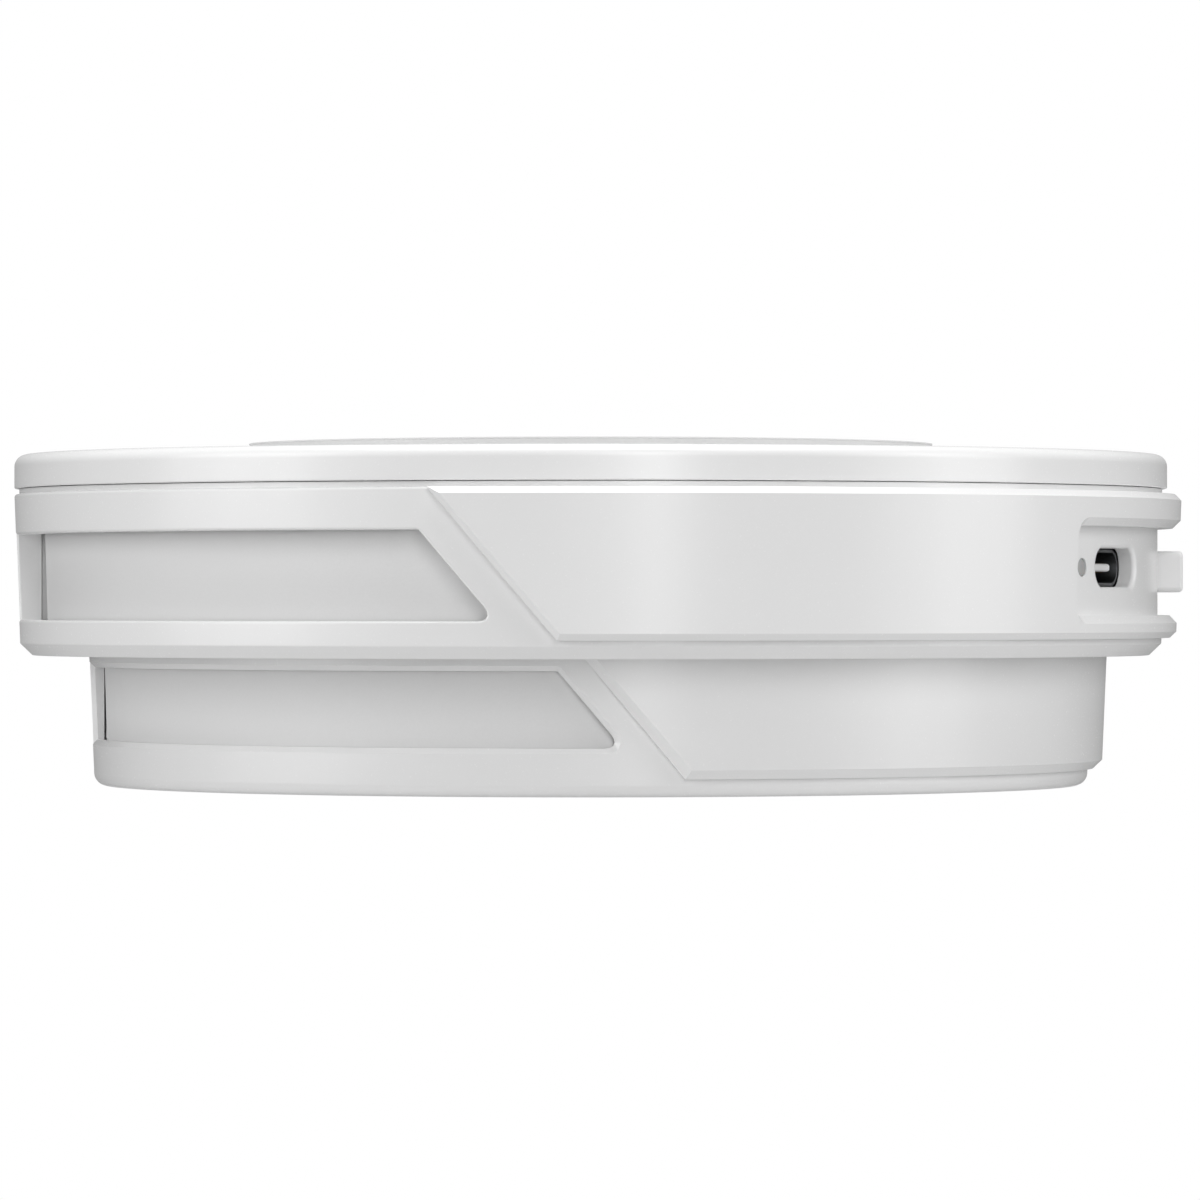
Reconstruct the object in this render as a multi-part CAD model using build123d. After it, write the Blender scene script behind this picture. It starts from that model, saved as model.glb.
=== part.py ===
from build123d import *
import math
import os

# Carbon monoxide detector: a round, two-tier unit that hangs from a ceiling plate.
# Millimetres. Z is up, and z = 0 is the ceiling. The narrow tier looks down into the room.
# Plan angles run anticlockwise from +X, seen from above. The unit is the same front and back
# of the XZ plane, apart from the port and the light beside the side button.

# Ceiling plate and its pad
PAD_R = 29.7
PAD_T = 1.0
PLATE_R = 50.0
PLATE_BOTTOM = -3.93
PLATE_FLOOR_T = 2.0
PLATE_SKIRT_T = 2.4
PLATE_EDGE_R = 1.05
CEILING_HOLE_R = 2.25
CEILING_HOLE_SPACING = 76.0
COUNTERSINK_R = 3.5

# Wide tier
NECK_R = 49.57
NECK_TOP = -3.99
TIER1_TOP = -4.43
TIER1_TOP_R = 50.0
TIER1_CHAMFER_TOP = -17.30
TIER1_CHAMFER_R = 49.50
TIER1_BOTTOM = -18.32
TIER1_BOTTOM_R = 48.44
TIER1_INNER_R = 47.7
TIER1_FLOOR_T = 1.8
TIER1_MOUTH_R = 43.0
TIER1_TOP_EDGE_R = 0.25

# Narrow tier
TIER2_TOP_R = 43.55
TIER2_BOTTOM_R = 43.07
TIER2_BOTTOM = -29.57
TIER2_EDGE_R = 1.05
TIER2_INNER_R = 41.4
TIER2_FLOOR_T = 1.8
SPIGOT_R = 42.9
SPIGOT_TOP = -16.2

# Raised bands on the +X side of each tier, with ends that lean by one slant
SLANT = 40.5
BAND1_TOP_R = 51.28
BAND1_BOTTOM_R = 50.76
BAND1_BOTTOM = -16.81
BAND1_END = (-99.0, -10.62)
BAND1_CHAMFER = 0.54
BAND2_TOP_R = 44.81
BAND2_BOTTOM_R = 44.35
BAND2_BOTTOM = -28.09
BAND2_END = (-85.2, -23.2)
BAND2_CHAMFER = 0.74

# Windows: start angle, (angle, height) of the leaning end's middle, top and bottom
WINDOW_START = -178.0
WINDOW1_TOP = -7.885
WINDOW1_BOTTOM = -15.26
WINDOW1_END = (-102.45, -11.57)
WINDOW1_EDGE = 0.22
WINDOW2_TOP = -19.32
WINDOW2_BOTTOM = -25.60
WINDOW2_END = (-89.95, -22.46)
WINDOW2_EDGE = 0.43
WINDOW_UPPER_CORNER_R = 0.35
WINDOW_LOWER_CORNER_R = 0.7

# Inner walls behind the windows
LINER_T = 0.8
LINER1_TOP_R = 47.38
LINER1_BOTTOM_R = 47.10
LINER1_SPAN = 84.0
LINER2_TOP_R = 42.22
LINER2_BOTTOM_R = 42.00
LINER2_SPAN = 98.0
LINER2_HIDDEN = 0.6
LINER_RIB_HALF_ANGLE = 1.6
LINER_RIB_GAP = 0.05
AIR_SLOT_COUNT = 16
AIR_SLOT_DEPTH = 0.8
AIR_SLOT_REACH = (44, 49)
LINER2_GAP = 0.05
LINER2_END_GAP = 0.1
SCREEN_T = 0.2
SCREEN_GAP = 0.1
SCREEN_HEIGHT = 2.2
SCREEN_SHORTER = 1.0
LINER_RIB_ROOT = 0.3

# Pocket in the wide tier's band, with the port, the light and the side button
POCKET_HALF_ANGLE = 37.1
POCKET_R = 49.17
POCKET_TOP = -7.36
POCKET_BOTTOM = -14.87
POCKET_CHAMFER = 0.66
POCKET_CORNER_R = 0.95
PORT_ANGLE = -25.5
PORT_Z = -10.83
PORT_HOLE = (9.04, 3.24)
PORT_EDGE = 0.4
PORT_FACE_R = 47.42
SHELL_SIZE = (8.94, 3.16)
SHELL_T = 0.3
SHELL_LENGTH = 7.3
TONGUE_SIZE = (6.69, 0.7)
TONGUE_RECESS = 0.12
TONGUE_BASE_LENGTH = 2.2
TONGUE_BASE_GAP = 0.02
LIGHT_ANGLE = -33.6
LIGHT_R = 0.72
LIGHT_GAP = 0.04
LIGHT_BACK_R = 45.5
LIGHT_SET_BACK = 0.02
SIDE_BUTTON_Z = -11.11
SIDE_BUTTON_SIZE = (10.0, 3.55)
SIDE_BUTTON_FACE = 51.2
SIDE_BUTTON_GAP = 0.15
SIDE_BUTTON_CORNER_R = 0.5
SIDE_BUTTON_EDGE_R = 0.3
SIDE_BUTTON_BACK = 45.8
SIDE_BUTTON_FLANGE = (12.4, 5.2)
SIDE_BUTTON_FLANGE_T = 0.8
WALL_CUT_INNER_R = 40.0
WALL_CUT_OUTER_R = 55.0

# Rear cover and bayonet
COVER_R = 47.4
COVER_TOP = -4.3
COVER_T = 2.0
LEDGE_R = 46.0
LEDGE_T = 0.6
HOOK_ANGLES = (60, 180, 300)
HOOK_INNER_R = 38.7
HOOK_STEM_T = 1.6
HOOK_FOOT_R = 42.0
HOOK_HALF_ANGLE = 4.0
HOOK_FOOT_T = 1.1
HOOK_GAP = 0.2
TWIST = 14.0
SLOT_CLEARANCE_ANGLE = 0.6
HOOK_POCKET_WALL = 1.0
HOOK_POCKET_DEPTH = 2.4

# Posts and screws
POST_ANGLES = (0, 120, 240)
POST_R = 37.8
POST_RADIUS = 3.2
BOARD_POSTS = ((85, 34.0), (-85, 34.0), (180, 37.0))
BOARD_POST_RADIUS = 2.6
CASE_SCREW_CLEARANCE_R = 1.6
CASE_SCREW_SINK_R = 2.9
CASE_SCREW_HEAD_R = 2.7
CASE_SCREW_HEAD_T = 1.2
CASE_SCREW_SET_DOWN = 0.1
CASE_SCREW_R = 1.25
CASE_SCREW_REACH = 12.0
CASE_SCREW_RECESS_R = 1.1
CASE_SCREW_RECESS_T = 0.7
BOARD_SCREW_CLEARANCE_R = 1.2
BOARD_SCREW_HEAD_R = 2.0
BOARD_SCREW_HEAD_T = 1.3
BOARD_SCREW_R = 0.9
BOARD_SCREW_REACH = 5.0
BOARD_SCREW_RECESS_R = 0.8
BOARD_SCREW_RECESS_T = 0.7
BLIND_HOLE_EXTRA = 1.0
POST_ROOT = 0.5

# Board and the parts on it. Ranges are (low, high); heights marked DROP or T run down from the board.
BOARD_TOP = -12.41
BOARD_T = 1.2
BOARD_R = 40.8
BOARD_PORT_LOBE = (46.6, -40.0, -11.0)
BOARD_SWITCH_LOBE = (45.0, -11.5, 9.0)
BOARD_LOBE_INNER_R = 30.0
BOARD_POST_GAP = 0.3
MODULE_X = (4, 24)
MODULE_Y = (-25, -9)
MODULE_T = 2.8
MODULE_CORNER_R = 0.8
CAPACITOR_CENTRES = ((-3.0, 24.0), (-12.0, 23.0))
CAPACITOR_R = 3.15
CAPACITOR_DROP = 7.7
CAPACITOR_FOOT_HALF = 3.3
CAPACITOR_FOOT_T = 0.8
INDUCTOR_X = (-10, -2)
INDUCTOR_Y = (-28, -20)
INDUCTOR_T = 4.2
INDUCTOR_CORNER_R = 1.5
LED_HALF_WIDTHS = (1.0, 0.65)
LED_T = 1.2
SIDE_LED_SIZE = (1.0, 1.8)
SIDE_LED_R = 44.9
SIDE_LED_ABOVE_AXIS = 0.9

# Gas sensor and sounder, each sealed to the downward face
SENSOR_R = 9.5
SENSOR_CAP_R = 8.6
SENSOR_CAP_T = 1.2
SENSOR_DROP = 11.3
SENSOR_STAND_OFF = 0.4
SENSOR_INLET_R = 1.6
SENSOR_INLET_DEPTH = 0.8
SENSOR_PIN_ANGLES = (90, 210, 330)
SENSOR_PIN_R = 0.5
SENSOR_PIN_CIRCLE_R = 6.0
SENSOR_GASKET_R = (4.6, 7.2)
SOUNDER_R = 12.5
SOUNDER_DROP = 10.0
SOUNDER_SIDE_T = 1.0
SOUNDER_FRONT_T = 1.2
SOUNDER_BACK_T = 1.0
SOUNDER_OUTLET_R = 2.5
PIEZO_DROP = 5.0
PIEZO_PLATE_R = 11.4
PIEZO_PLATE_T = 0.3
PIEZO_CERAMIC_R = 8.0
PIEZO_CERAMIC_T = 0.25
SOUNDER_GASKET_R = (3.6, 5.8)

# Cell, its pad, connector and leads
CELL_X = (-25, 25)
CELL_Y = (-17, 17)
CELL_Z = (-12.0, -7.2)
CELL_EDGE_R = 1.6
CELL_PAD_X = (-18, 18)
CELL_PAD_Y = (-12, 12)
PLUG_X = (26.4, 31.6)
PLUG_Y = (12.0, 15.5)
PLUG_Z = (-11.4, -8.2)
SOCKET_X = (25.8, 32.2)
SOCKET_Y = (13.0, 19.5)
SOCKET_TOP = -7.8
SOCKET_GAP = 0.1
LEAD_R = 0.6
LEAD_BEND_R = 2.0
LEAD_Z = -9.8
LEAD_RUNS = ((28.0, 5.0), (30.2, 2.8))

# Switches behind the two buttons
SIDE_SWITCH_X = (41.5, 45.0)
SIDE_SWITCH_HALF_WIDTH = 3.0
SIDE_SWITCH_TOP = -9.2
SIDE_PLUNGER_X = (44.4, 45.8)
SIDE_PLUNGER_HALF = (1.2, 0.7)
SIDE_WELL_BACK = 43.8
SWITCH_GAP = 0.1
TEST_SWITCH_HALF = 3.0
TEST_SWITCH_T = 3.6
TEST_WELL_DROP = 2.0
TEST_PLUNGER_R = 1.7
TEST_PLUNGER_DROP = (3.0, 5.0)

# Downward face: test button, light ring, openings for sound and air
BUTTON_R = 10.1
BUTTON_FLANGE_R = 11.6
BUTTON_FLANGE_T = 0.8
BUTTON_FLANGE_GAP = 0.1
BUTTON_EDGE_R = 0.3
BUTTON_SIDE_T = 1.4
BUTTON_FRONT_T = 1.3
BUTTON_STEM_R = 2.5
RING_INNER_R = 10.3
RING_OUTER_R = 12.25
RING_FLANGE_R = 14.2
RING_FLANGE_T = 0.8
RING_SET_UP = 0.1
RING_HOLE_GAP = 0.05
RING_PIN_Y = (-13.0, 13.0)
RING_PIN_R = 1.0
RING_PIN_GAP = 0.2
SLOT_COUNT = 24
SLOT_W = 1.5
SLOT_INNER_R = 17.0
SLOT_OUTER_R = 30.0
SOUNDER_X = -20.5
SENSOR_ANGLE = 55.0
SENSOR_DISTANCE = 22.0

FLOOR_TOP = TIER2_BOTTOM + TIER2_FLOOR_T
COVER_BOTTOM = COVER_TOP - COVER_T
BOARD_BOTTOM = BOARD_TOP - BOARD_T
RING_TOP = FLOOR_TOP + RING_FLANGE_T
BEYOND = 60.0


def turned(outline, start=0.0, sweep=360.0):
    """Solid turned about Z from (radius, height) points, from a plan angle."""
    points = [(radius, 0, height) for radius, height in outline]
    face = make_face(Polyline(*points, close=True))
    return Rot(0, 0, start) * revolve(face, axis=Axis.Z, revolution_arc=sweep)


def sector(inner, outer, bottom, top, start, end):
    """Part of a ring between two radii, two heights and two plan angles."""
    outline = [(inner, bottom), (outer, bottom), (outer, top), (inner, top)]
    return turned(outline, start, end - start)


def disc(radius, bottom, top, x=0.0, y=0.0):
    """Upright cylinder between two heights."""
    return Pos(x, y, (bottom + top) / 2) * Cylinder(radius, top - bottom)


def block(x_range, y_range, z_range):
    """Box between three pairs of limits."""
    spans = [high - low for low, high in (x_range, y_range, z_range)]
    middles = [(low + high) / 2 for low, high in (x_range, y_range, z_range)]
    return Pos(*middles) * Box(*spans)


def polar(radius, angle):
    """Plan position at a radius and an angle."""
    return radius * math.cos(math.radians(angle)), radius * math.sin(math.radians(angle))


def beyond_lean(end, radius, side):
    """Half space past a leaning radial plane: side 1 is towards larger angles, -1 smaller."""
    angle, height = end
    shift = Pos(radius, side * BEYOND / 2, 0)
    lean = Rot(0, 0, angle) * Pos(0, 0, height) * Rot(SLANT, 0, 0)
    return lean * shift * Box(BEYOND / 2, BEYOND, 2 * BEYOND)


def both_sides(solid):
    """A solid and its mirror image across the XZ plane."""
    return [solid, mirror(solid, about=Plane.XZ)]


def flat_radial(edge):
    """True for a straight, level edge."""
    return edge.geom_type == GeomType.LINE and abs(edge.tangent_at(0.5).Z) < 0.01


def outer_face(solid, radius):
    """The largest face whose middle lies about a radius from the axis."""
    found = [
        face
        for face in solid.faces()
        if face.geom_type in (GeomType.CONE, GeomType.CYLINDER)
        and abs(math.hypot(face.position_at(0.5, 0.5).X, face.position_at(0.5, 0.5).Y) - radius) < 0.5
    ]
    return max(found, key=lambda face: face.area)


def window_cutter(radius, bottom, top, end):
    """One window's cutter: square corners at the post, rounded ones at the leaning end."""
    whole = sector(radius - 4, radius + 4, bottom, top, WINDOW_START, WINDOW_START + 110)
    cutter = whole - beyond_lean(end, radius, 1)
    for height, corner_r in ((top, WINDOW_UPPER_CORNER_R), (bottom, WINDOW_LOWER_CORNER_R)):
        level = cutter.edges().filter_by(flat_radial)
        level = level.filter_by(lambda edge: abs(edge.center().Z - height) < 0.01)
        cutter = fillet(level.sort_by(Axis.X)[-1], corner_r)
    return cutter


def band(top, top_r, bottom, bottom_r, inner_r, end, chamfer_size, top_chamfer=True):
    """Raised band round the +X side, with leaning ends and chamfered outer edges."""
    outline = [(inner_r, bottom), (bottom_r, bottom), (top_r, top), (inner_r, top)]
    start = end[0] - 25
    solid = turned(outline, start, -2 * start)
    for waste in both_sides(beyond_lean(end, top_r, -1)):
        solid = solid - waste
    face = outer_face(solid, (top_r + bottom_r) / 2)
    edges = face.outer_wire().edges()
    if not top_chamfer:
        edges = edges.filter_by(lambda edge: edge.center().Z < top - 0.01)
    return chamfer(edges, chamfer_size)


def adhesive_pad():
    return disc(PAD_R, -PAD_T, 0)


def bayonet_hook(angle):
    """Stem and outward foot that hang from the plate's floor."""
    foot_top = COVER_BOTTOM - HOOK_GAP
    foot_bottom = foot_top - HOOK_FOOT_T
    first, last = angle - HOOK_HALF_ANGLE, angle + HOOK_HALF_ANGLE
    plate_underside = -PAD_T - PLATE_FLOOR_T
    stem = sector(HOOK_INNER_R, HOOK_INNER_R + HOOK_STEM_T, foot_bottom, plate_underside + 0.5, first, last)
    foot = sector(HOOK_INNER_R, HOOK_FOOT_R, foot_bottom, foot_top, first, last)
    return stem + foot


def mounting_plate():
    underside = -PAD_T - PLATE_FLOOR_T
    skirt_r = PLATE_R - PLATE_SKIRT_T
    plate = turned([
        (0, -PAD_T),
        (PLATE_R, -PAD_T),
        (PLATE_R, PLATE_BOTTOM),
        (skirt_r, PLATE_BOTTOM),
        (skirt_r, underside),
        (0, underside),
    ])
    rim = plate.edges().filter_by(GeomType.CIRCLE).group_by(Axis.Z)[-1].sort_by(SortBy.RADIUS)[-1]
    plate = fillet(rim, PLATE_EDGE_R)
    for angle in HOOK_ANGLES:
        plate = plate + bayonet_hook(angle)
    for y in (-CEILING_HOLE_SPACING / 2, CEILING_HOLE_SPACING / 2):
        cone_height = COUNTERSINK_R - CEILING_HOLE_R
        cone = Cone(COUNTERSINK_R, CEILING_HOLE_R, cone_height)
        plate = plate - disc(CEILING_HOLE_R, underside - 1, 0, 0, y)
        plate = plate - Pos(0, y, underside + cone_height / 2) * cone
    return plate


def bayonet_slot(angle):
    """Wide entry and narrow run that a hook needs, through the cover."""
    inner = HOOK_INNER_R - HOOK_GAP
    narrow = HOOK_INNER_R + HOOK_STEM_T + HOOK_GAP
    wide = HOOK_FOOT_R + HOOK_GAP
    half = HOOK_HALF_ANGLE + SLOT_CLEARANCE_ANGLE
    low, high = COVER_BOTTOM - 1, COVER_TOP + 1
    run = sector(inner, narrow, low, high, angle - half, angle + TWIST + half)
    entry = sector(inner, wide, low, high, angle + TWIST - half, angle + TWIST + half)
    return run + entry


def bayonet_pocket(angle, grow, bottom):
    """Space under the cover for a hook's foot, made larger by grow on every side."""
    grow_angle = math.degrees(grow / HOOK_FOOT_R)
    half = HOOK_HALF_ANGLE + SLOT_CLEARANCE_ANGLE
    return sector(
        HOOK_INNER_R - HOOK_GAP - grow,
        HOOK_FOOT_R + HOOK_GAP + grow,
        bottom,
        COVER_BOTTOM,
        angle - half - grow_angle,
        angle + TWIST + half + grow_angle,
    )


def rear_cover():
    cover = disc(COVER_R, COVER_BOTTOM, COVER_TOP)
    pocket_floor = COVER_BOTTOM - HOOK_POCKET_DEPTH
    for angle in HOOK_ANGLES:
        cover = cover + bayonet_pocket(angle, HOOK_POCKET_WALL, pocket_floor)
        cover = cover - bayonet_pocket(angle, 0, pocket_floor + HOOK_POCKET_WALL)
        cover = cover - bayonet_slot(angle)
    for angle in POST_ANGLES:
        x, y = polar(POST_R, angle)
        seat = COVER_TOP - CASE_SCREW_SET_DOWN - CASE_SCREW_HEAD_T
        cover = cover - disc(CASE_SCREW_CLEARANCE_R, COVER_BOTTOM - 1, COVER_TOP + 1, x, y)
        cover = cover - disc(CASE_SCREW_SINK_R, seat, COVER_TOP + 1, x, y)
    return cover


def case_screws():
    screws = []
    for angle in POST_ANGLES:
        x, y = polar(POST_R, angle)
        head_top = COVER_TOP - CASE_SCREW_SET_DOWN
        seat = head_top - CASE_SCREW_HEAD_T
        head = disc(CASE_SCREW_HEAD_R, seat, head_top, x, y)
        shank = disc(CASE_SCREW_R, COVER_TOP - CASE_SCREW_REACH, seat, x, y)
        recess = disc(CASE_SCREW_RECESS_R, COVER_TOP - CASE_SCREW_RECESS_T, COVER_TOP, x, y)
        screws.append(head + shank - recess)
    return screws


def port_frame():
    """Local frame of the port: X outwards along its axis."""
    return Rot(0, 0, PORT_ANGLE) * Pos(0, 0, PORT_Z)


def port_prism(size, near, far):
    """Rounded-end bar along the port's axis, from one distance to another."""
    width, height = size
    profile = Plane(origin=(near, 0, 0), x_dir=(0, 1, 0), z_dir=(1, 0, 0)) * SlotOverall(width, height)
    return port_frame() * extrude(profile, far - near)


def tab_prism(size, near, far, corner):
    """Rounded bar along X at the side button's height."""
    width, height = size
    plane = Plane(origin=(near, 0, SIDE_BUTTON_Z), x_dir=(0, 1, 0), z_dir=(1, 0, 0))
    return extrude(plane * RectangleRounded(width, height, corner), far - near)


def light_cylinder(radius, near, far):
    """Round bar along the side light's axis."""
    bar = Pos((near + far) / 2, 0, PORT_Z) * Rot(0, 90, 0) * Cylinder(radius, far - near)
    return Rot(0, 0, LIGHT_ANGLE) * bar


def pocket_cutter():
    cutter = sector(
        POCKET_R,
        POCKET_R + 6,
        POCKET_BOTTOM,
        POCKET_TOP,
        -POCKET_HALF_ANGLE,
        POCKET_HALF_ANGLE,
    )
    corners = cutter.edges().filter_by(flat_radial)
    return fillet(corners, POCKET_CORNER_R)


def upper_shell():
    """The wide tier's ring with its ledge, floor and windows."""
    shell = turned([
        (NECK_R, NECK_TOP),
        (NECK_R, TIER1_TOP),
        (TIER1_TOP_R, TIER1_TOP),
        (TIER1_CHAMFER_R, TIER1_CHAMFER_TOP),
        (TIER1_BOTTOM_R, TIER1_BOTTOM),
        (TIER1_MOUTH_R, TIER1_BOTTOM),
        (TIER1_MOUTH_R, TIER1_BOTTOM + TIER1_FLOOR_T),
        (TIER1_INNER_R, TIER1_BOTTOM + TIER1_FLOOR_T),
        (TIER1_INNER_R, COVER_BOTTOM - LEDGE_T),
        (LEDGE_R, COVER_BOTTOM - LEDGE_T),
        (LEDGE_R, COVER_BOTTOM),
        (TIER1_INNER_R, COVER_BOTTOM),
        (TIER1_INNER_R, NECK_TOP),
    ])
    top_edges = shell.edges().filter_by(GeomType.CIRCLE)
    shoulder = top_edges.filter_by(lambda edge: abs(edge.radius - TIER1_TOP_R) < 0.01)
    shell = fillet(shoulder, TIER1_TOP_EDGE_R)
    for cutter in both_sides(window_cutter(TIER1_INNER_R, WINDOW1_BOTTOM, WINDOW1_TOP, WINDOW1_END)):
        shell = shell - cutter
    face = outer_face(shell, (TIER1_TOP_R + TIER1_CHAMFER_R) / 2)
    mouths = [edge for wire in face.inner_wires() for edge in wire.edges()]
    return fillet(mouths, WINDOW1_EDGE)


def upper_housing():
    raised = band(
        TIER1_TOP,
        BAND1_TOP_R,
        BAND1_BOTTOM,
        BAND1_BOTTOM_R,
        TIER1_INNER_R + 0.5,
        BAND1_END,
        BAND1_CHAMFER,
    )
    housing = upper_shell() + raised
    housing = housing - pocket_cutter()
    face = outer_face(housing, (BAND1_TOP_R + BAND1_BOTTOM_R) / 2)
    mouth = [edge for wire in face.inner_wires() for edge in wire.edges()]
    housing = chamfer(mouth, POCKET_CHAMFER)
    housing = housing - port_prism(PORT_HOLE, WALL_CUT_INNER_R, WALL_CUT_OUTER_R)
    port_mouth = housing.faces().filter_by(GeomType.CYLINDER).sort_by(SortBy.AREA)
    port_mouth = [face for face in port_mouth if abs(face.radius - POCKET_R) < 0.01][-1]
    mouth = [edge for wire in port_mouth.inner_wires() for edge in wire.edges()]
    housing = fillet(mouth, PORT_EDGE)
    button_hole = [size + 2 * SIDE_BUTTON_GAP for size in SIDE_BUTTON_SIZE]
    hole_corner = SIDE_BUTTON_CORNER_R + SIDE_BUTTON_GAP
    housing = housing - tab_prism(button_hole, WALL_CUT_INNER_R, WALL_CUT_OUTER_R, hole_corner)
    return housing - light_cylinder(LIGHT_R + LIGHT_GAP, WALL_CUT_INNER_R, WALL_CUT_OUTER_R)


def liner(top, top_r, bottom, bottom_r, span):
    """Inner wall behind both windows of a tier, to a span each side of -X."""
    outline = [
        (bottom_r - LINER_T, bottom),
        (bottom_r, bottom),
        (top_r, top),
        (top_r - LINER_T, top),
    ]
    return turned(outline, 180 - span, 2 * span)


def upper_vent_liner():
    top = COVER_BOTTOM - LEDGE_T
    bottom = TIER1_BOTTOM + TIER1_FLOOR_T
    wall = liner(top, LINER1_TOP_R, bottom, LINER1_BOTTOM_R, LINER1_SPAN)
    pitch = 2 * LINER1_SPAN / AIR_SLOT_COUNT
    for index in range(AIR_SLOT_COUNT):
        middle = 180 - LINER1_SPAN + pitch * (index + 0.5)
        first, last = middle - pitch / 3, middle + pitch / 3
        slot = sector(*AIR_SLOT_REACH, top - AIR_SLOT_DEPTH, top + 1, first, last)
        wall = wall - slot
    rib_r = TIER1_INNER_R - LINER_RIB_GAP
    rib_start = 180 - LINER_RIB_HALF_ANGLE
    rib_end = 180 + LINER_RIB_HALF_ANGLE
    return wall + sector(LINER1_BOTTOM_R - LINER_RIB_ROOT, rib_r, bottom, WINDOW1_TOP, rib_start, rib_end)


def insect_screen():
    top = COVER_BOTTOM - LEDGE_T
    outer = LINER1_TOP_R - LINER_T - SCREEN_GAP
    half = LINER1_SPAN - SCREEN_SHORTER
    return sector(outer - SCREEN_T, outer, top - SCREEN_HEIGHT, top, 180 - half, 180 + half)


def lower_shell():
    """The narrow tier's cup with its spigot and liner seat."""
    seat_r = LINER2_TOP_R + LINER2_GAP
    seat_top = WINDOW2_TOP + LINER2_HIDDEN + LINER2_END_GAP
    seat_bottom = WINDOW2_BOTTOM - LINER2_HIDDEN - LINER2_END_GAP
    cup = turned([
        (0, TIER2_BOTTOM),
        (TIER2_BOTTOM_R, TIER2_BOTTOM),
        (TIER2_TOP_R, TIER1_BOTTOM),
        (SPIGOT_R, TIER1_BOTTOM),
        (SPIGOT_R, SPIGOT_TOP),
        (TIER2_INNER_R, SPIGOT_TOP),
        (TIER2_INNER_R, seat_top),
        (seat_r, seat_top),
        (seat_r, seat_bottom),
        (TIER2_INNER_R, seat_bottom),
        (TIER2_INNER_R, FLOOR_TOP),
        (0, FLOOR_TOP),
    ])
    rim = cup.edges().filter_by(GeomType.CIRCLE).group_by(Axis.Z)[0]
    cup = fillet(rim, TIER2_EDGE_R)
    for cutter in both_sides(window_cutter(TIER2_TOP_R, WINDOW2_BOTTOM, WINDOW2_TOP, WINDOW2_END)):
        cup = cup - cutter
    face = outer_face(cup, (TIER2_TOP_R + TIER2_BOTTOM_R) / 2)
    mouths = [edge for wire in face.inner_wires() for edge in wire.edges()]
    return chamfer(mouths, WINDOW2_EDGE)


def front_slot(angle):
    """One radial opening through the downward face."""
    length = SLOT_OUTER_R - SLOT_INNER_R
    middle = (SLOT_OUTER_R + SLOT_INNER_R) / 2
    profile = Plane.XY.offset(TIER2_BOTTOM - 1) * Pos(middle, 0) * SlotOverall(length, SLOT_W)
    return Rot(0, 0, angle) * extrude(profile, TIER2_FLOOR_T + 2)


def front_cover():
    raised = band(
        TIER1_BOTTOM,
        BAND2_TOP_R,
        BAND2_BOTTOM,
        BAND2_BOTTOM_R,
        TIER2_INNER_R + 1.2,
        BAND2_END,
        BAND2_CHAMFER,
        top_chamfer=False,
    )
    cover = lower_shell() + raised
    cover = cover - disc(RING_OUTER_R + RING_HOLE_GAP, TIER2_BOTTOM - 1, FLOOR_TOP + 1)
    for index in range(SLOT_COUNT):
        cover = cover - front_slot(360 / SLOT_COUNT * (index + 0.5))
    for angle in POST_ANGLES:
        x, y = polar(POST_R, angle)
        hole_end = COVER_TOP - CASE_SCREW_REACH - BLIND_HOLE_EXTRA
        cover = cover + disc(POST_RADIUS, FLOOR_TOP - POST_ROOT, COVER_BOTTOM, x, y)
        cover = cover - disc(CASE_SCREW_R, hole_end, COVER_BOTTOM, x, y)
    for angle, radius in BOARD_POSTS:
        x, y = polar(radius, angle)
        hole_end = BOARD_BOTTOM - BOARD_SCREW_REACH - BLIND_HOLE_EXTRA
        cover = cover + disc(BOARD_POST_RADIUS, FLOOR_TOP - POST_ROOT, BOARD_BOTTOM, x, y)
        cover = cover - disc(BOARD_SCREW_R, hole_end, BOARD_BOTTOM, x, y)
    return cover


def lower_vent_liner():
    top = WINDOW2_TOP + LINER2_HIDDEN
    bottom = WINDOW2_BOTTOM - LINER2_HIDDEN
    return liner(top, LINER2_TOP_R, bottom, LINER2_BOTTOM_R, LINER2_SPAN)


def main_board():
    board = disc(BOARD_R, BOARD_BOTTOM, BOARD_TOP)
    for radius, start, end in (BOARD_PORT_LOBE, BOARD_SWITCH_LOBE):
        board = board + sector(BOARD_LOBE_INNER_R, radius, BOARD_BOTTOM, BOARD_TOP, start, end)
    for angle in POST_ANGLES:
        x, y = polar(POST_R, angle)
        board = board - disc(POST_RADIUS + BOARD_POST_GAP, BOARD_BOTTOM - 1, BOARD_TOP + 1, x, y)
    for angle, radius in BOARD_POSTS:
        x, y = polar(radius, angle)
        board = board - disc(BOARD_SCREW_CLEARANCE_R, BOARD_BOTTOM - 1, BOARD_TOP + 1, x, y)
    return board


def board_screws():
    screws = []
    for angle, radius in BOARD_POSTS:
        x, y = polar(radius, angle)
        head_top = BOARD_TOP + BOARD_SCREW_HEAD_T
        head = disc(BOARD_SCREW_HEAD_R, BOARD_TOP, head_top, x, y)
        shank = disc(BOARD_SCREW_R, BOARD_BOTTOM - BOARD_SCREW_REACH, BOARD_TOP, x, y)
        recess = disc(BOARD_SCREW_RECESS_R, head_top - BOARD_SCREW_RECESS_T, head_top + 1, x, y)
        screws.append(head + shank - recess)
    return screws


def control_module():
    can = block(MODULE_X, MODULE_Y, (BOARD_BOTTOM - MODULE_T, BOARD_BOTTOM))
    return fillet(can.edges().filter_by(Axis.Z), MODULE_CORNER_R)


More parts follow.
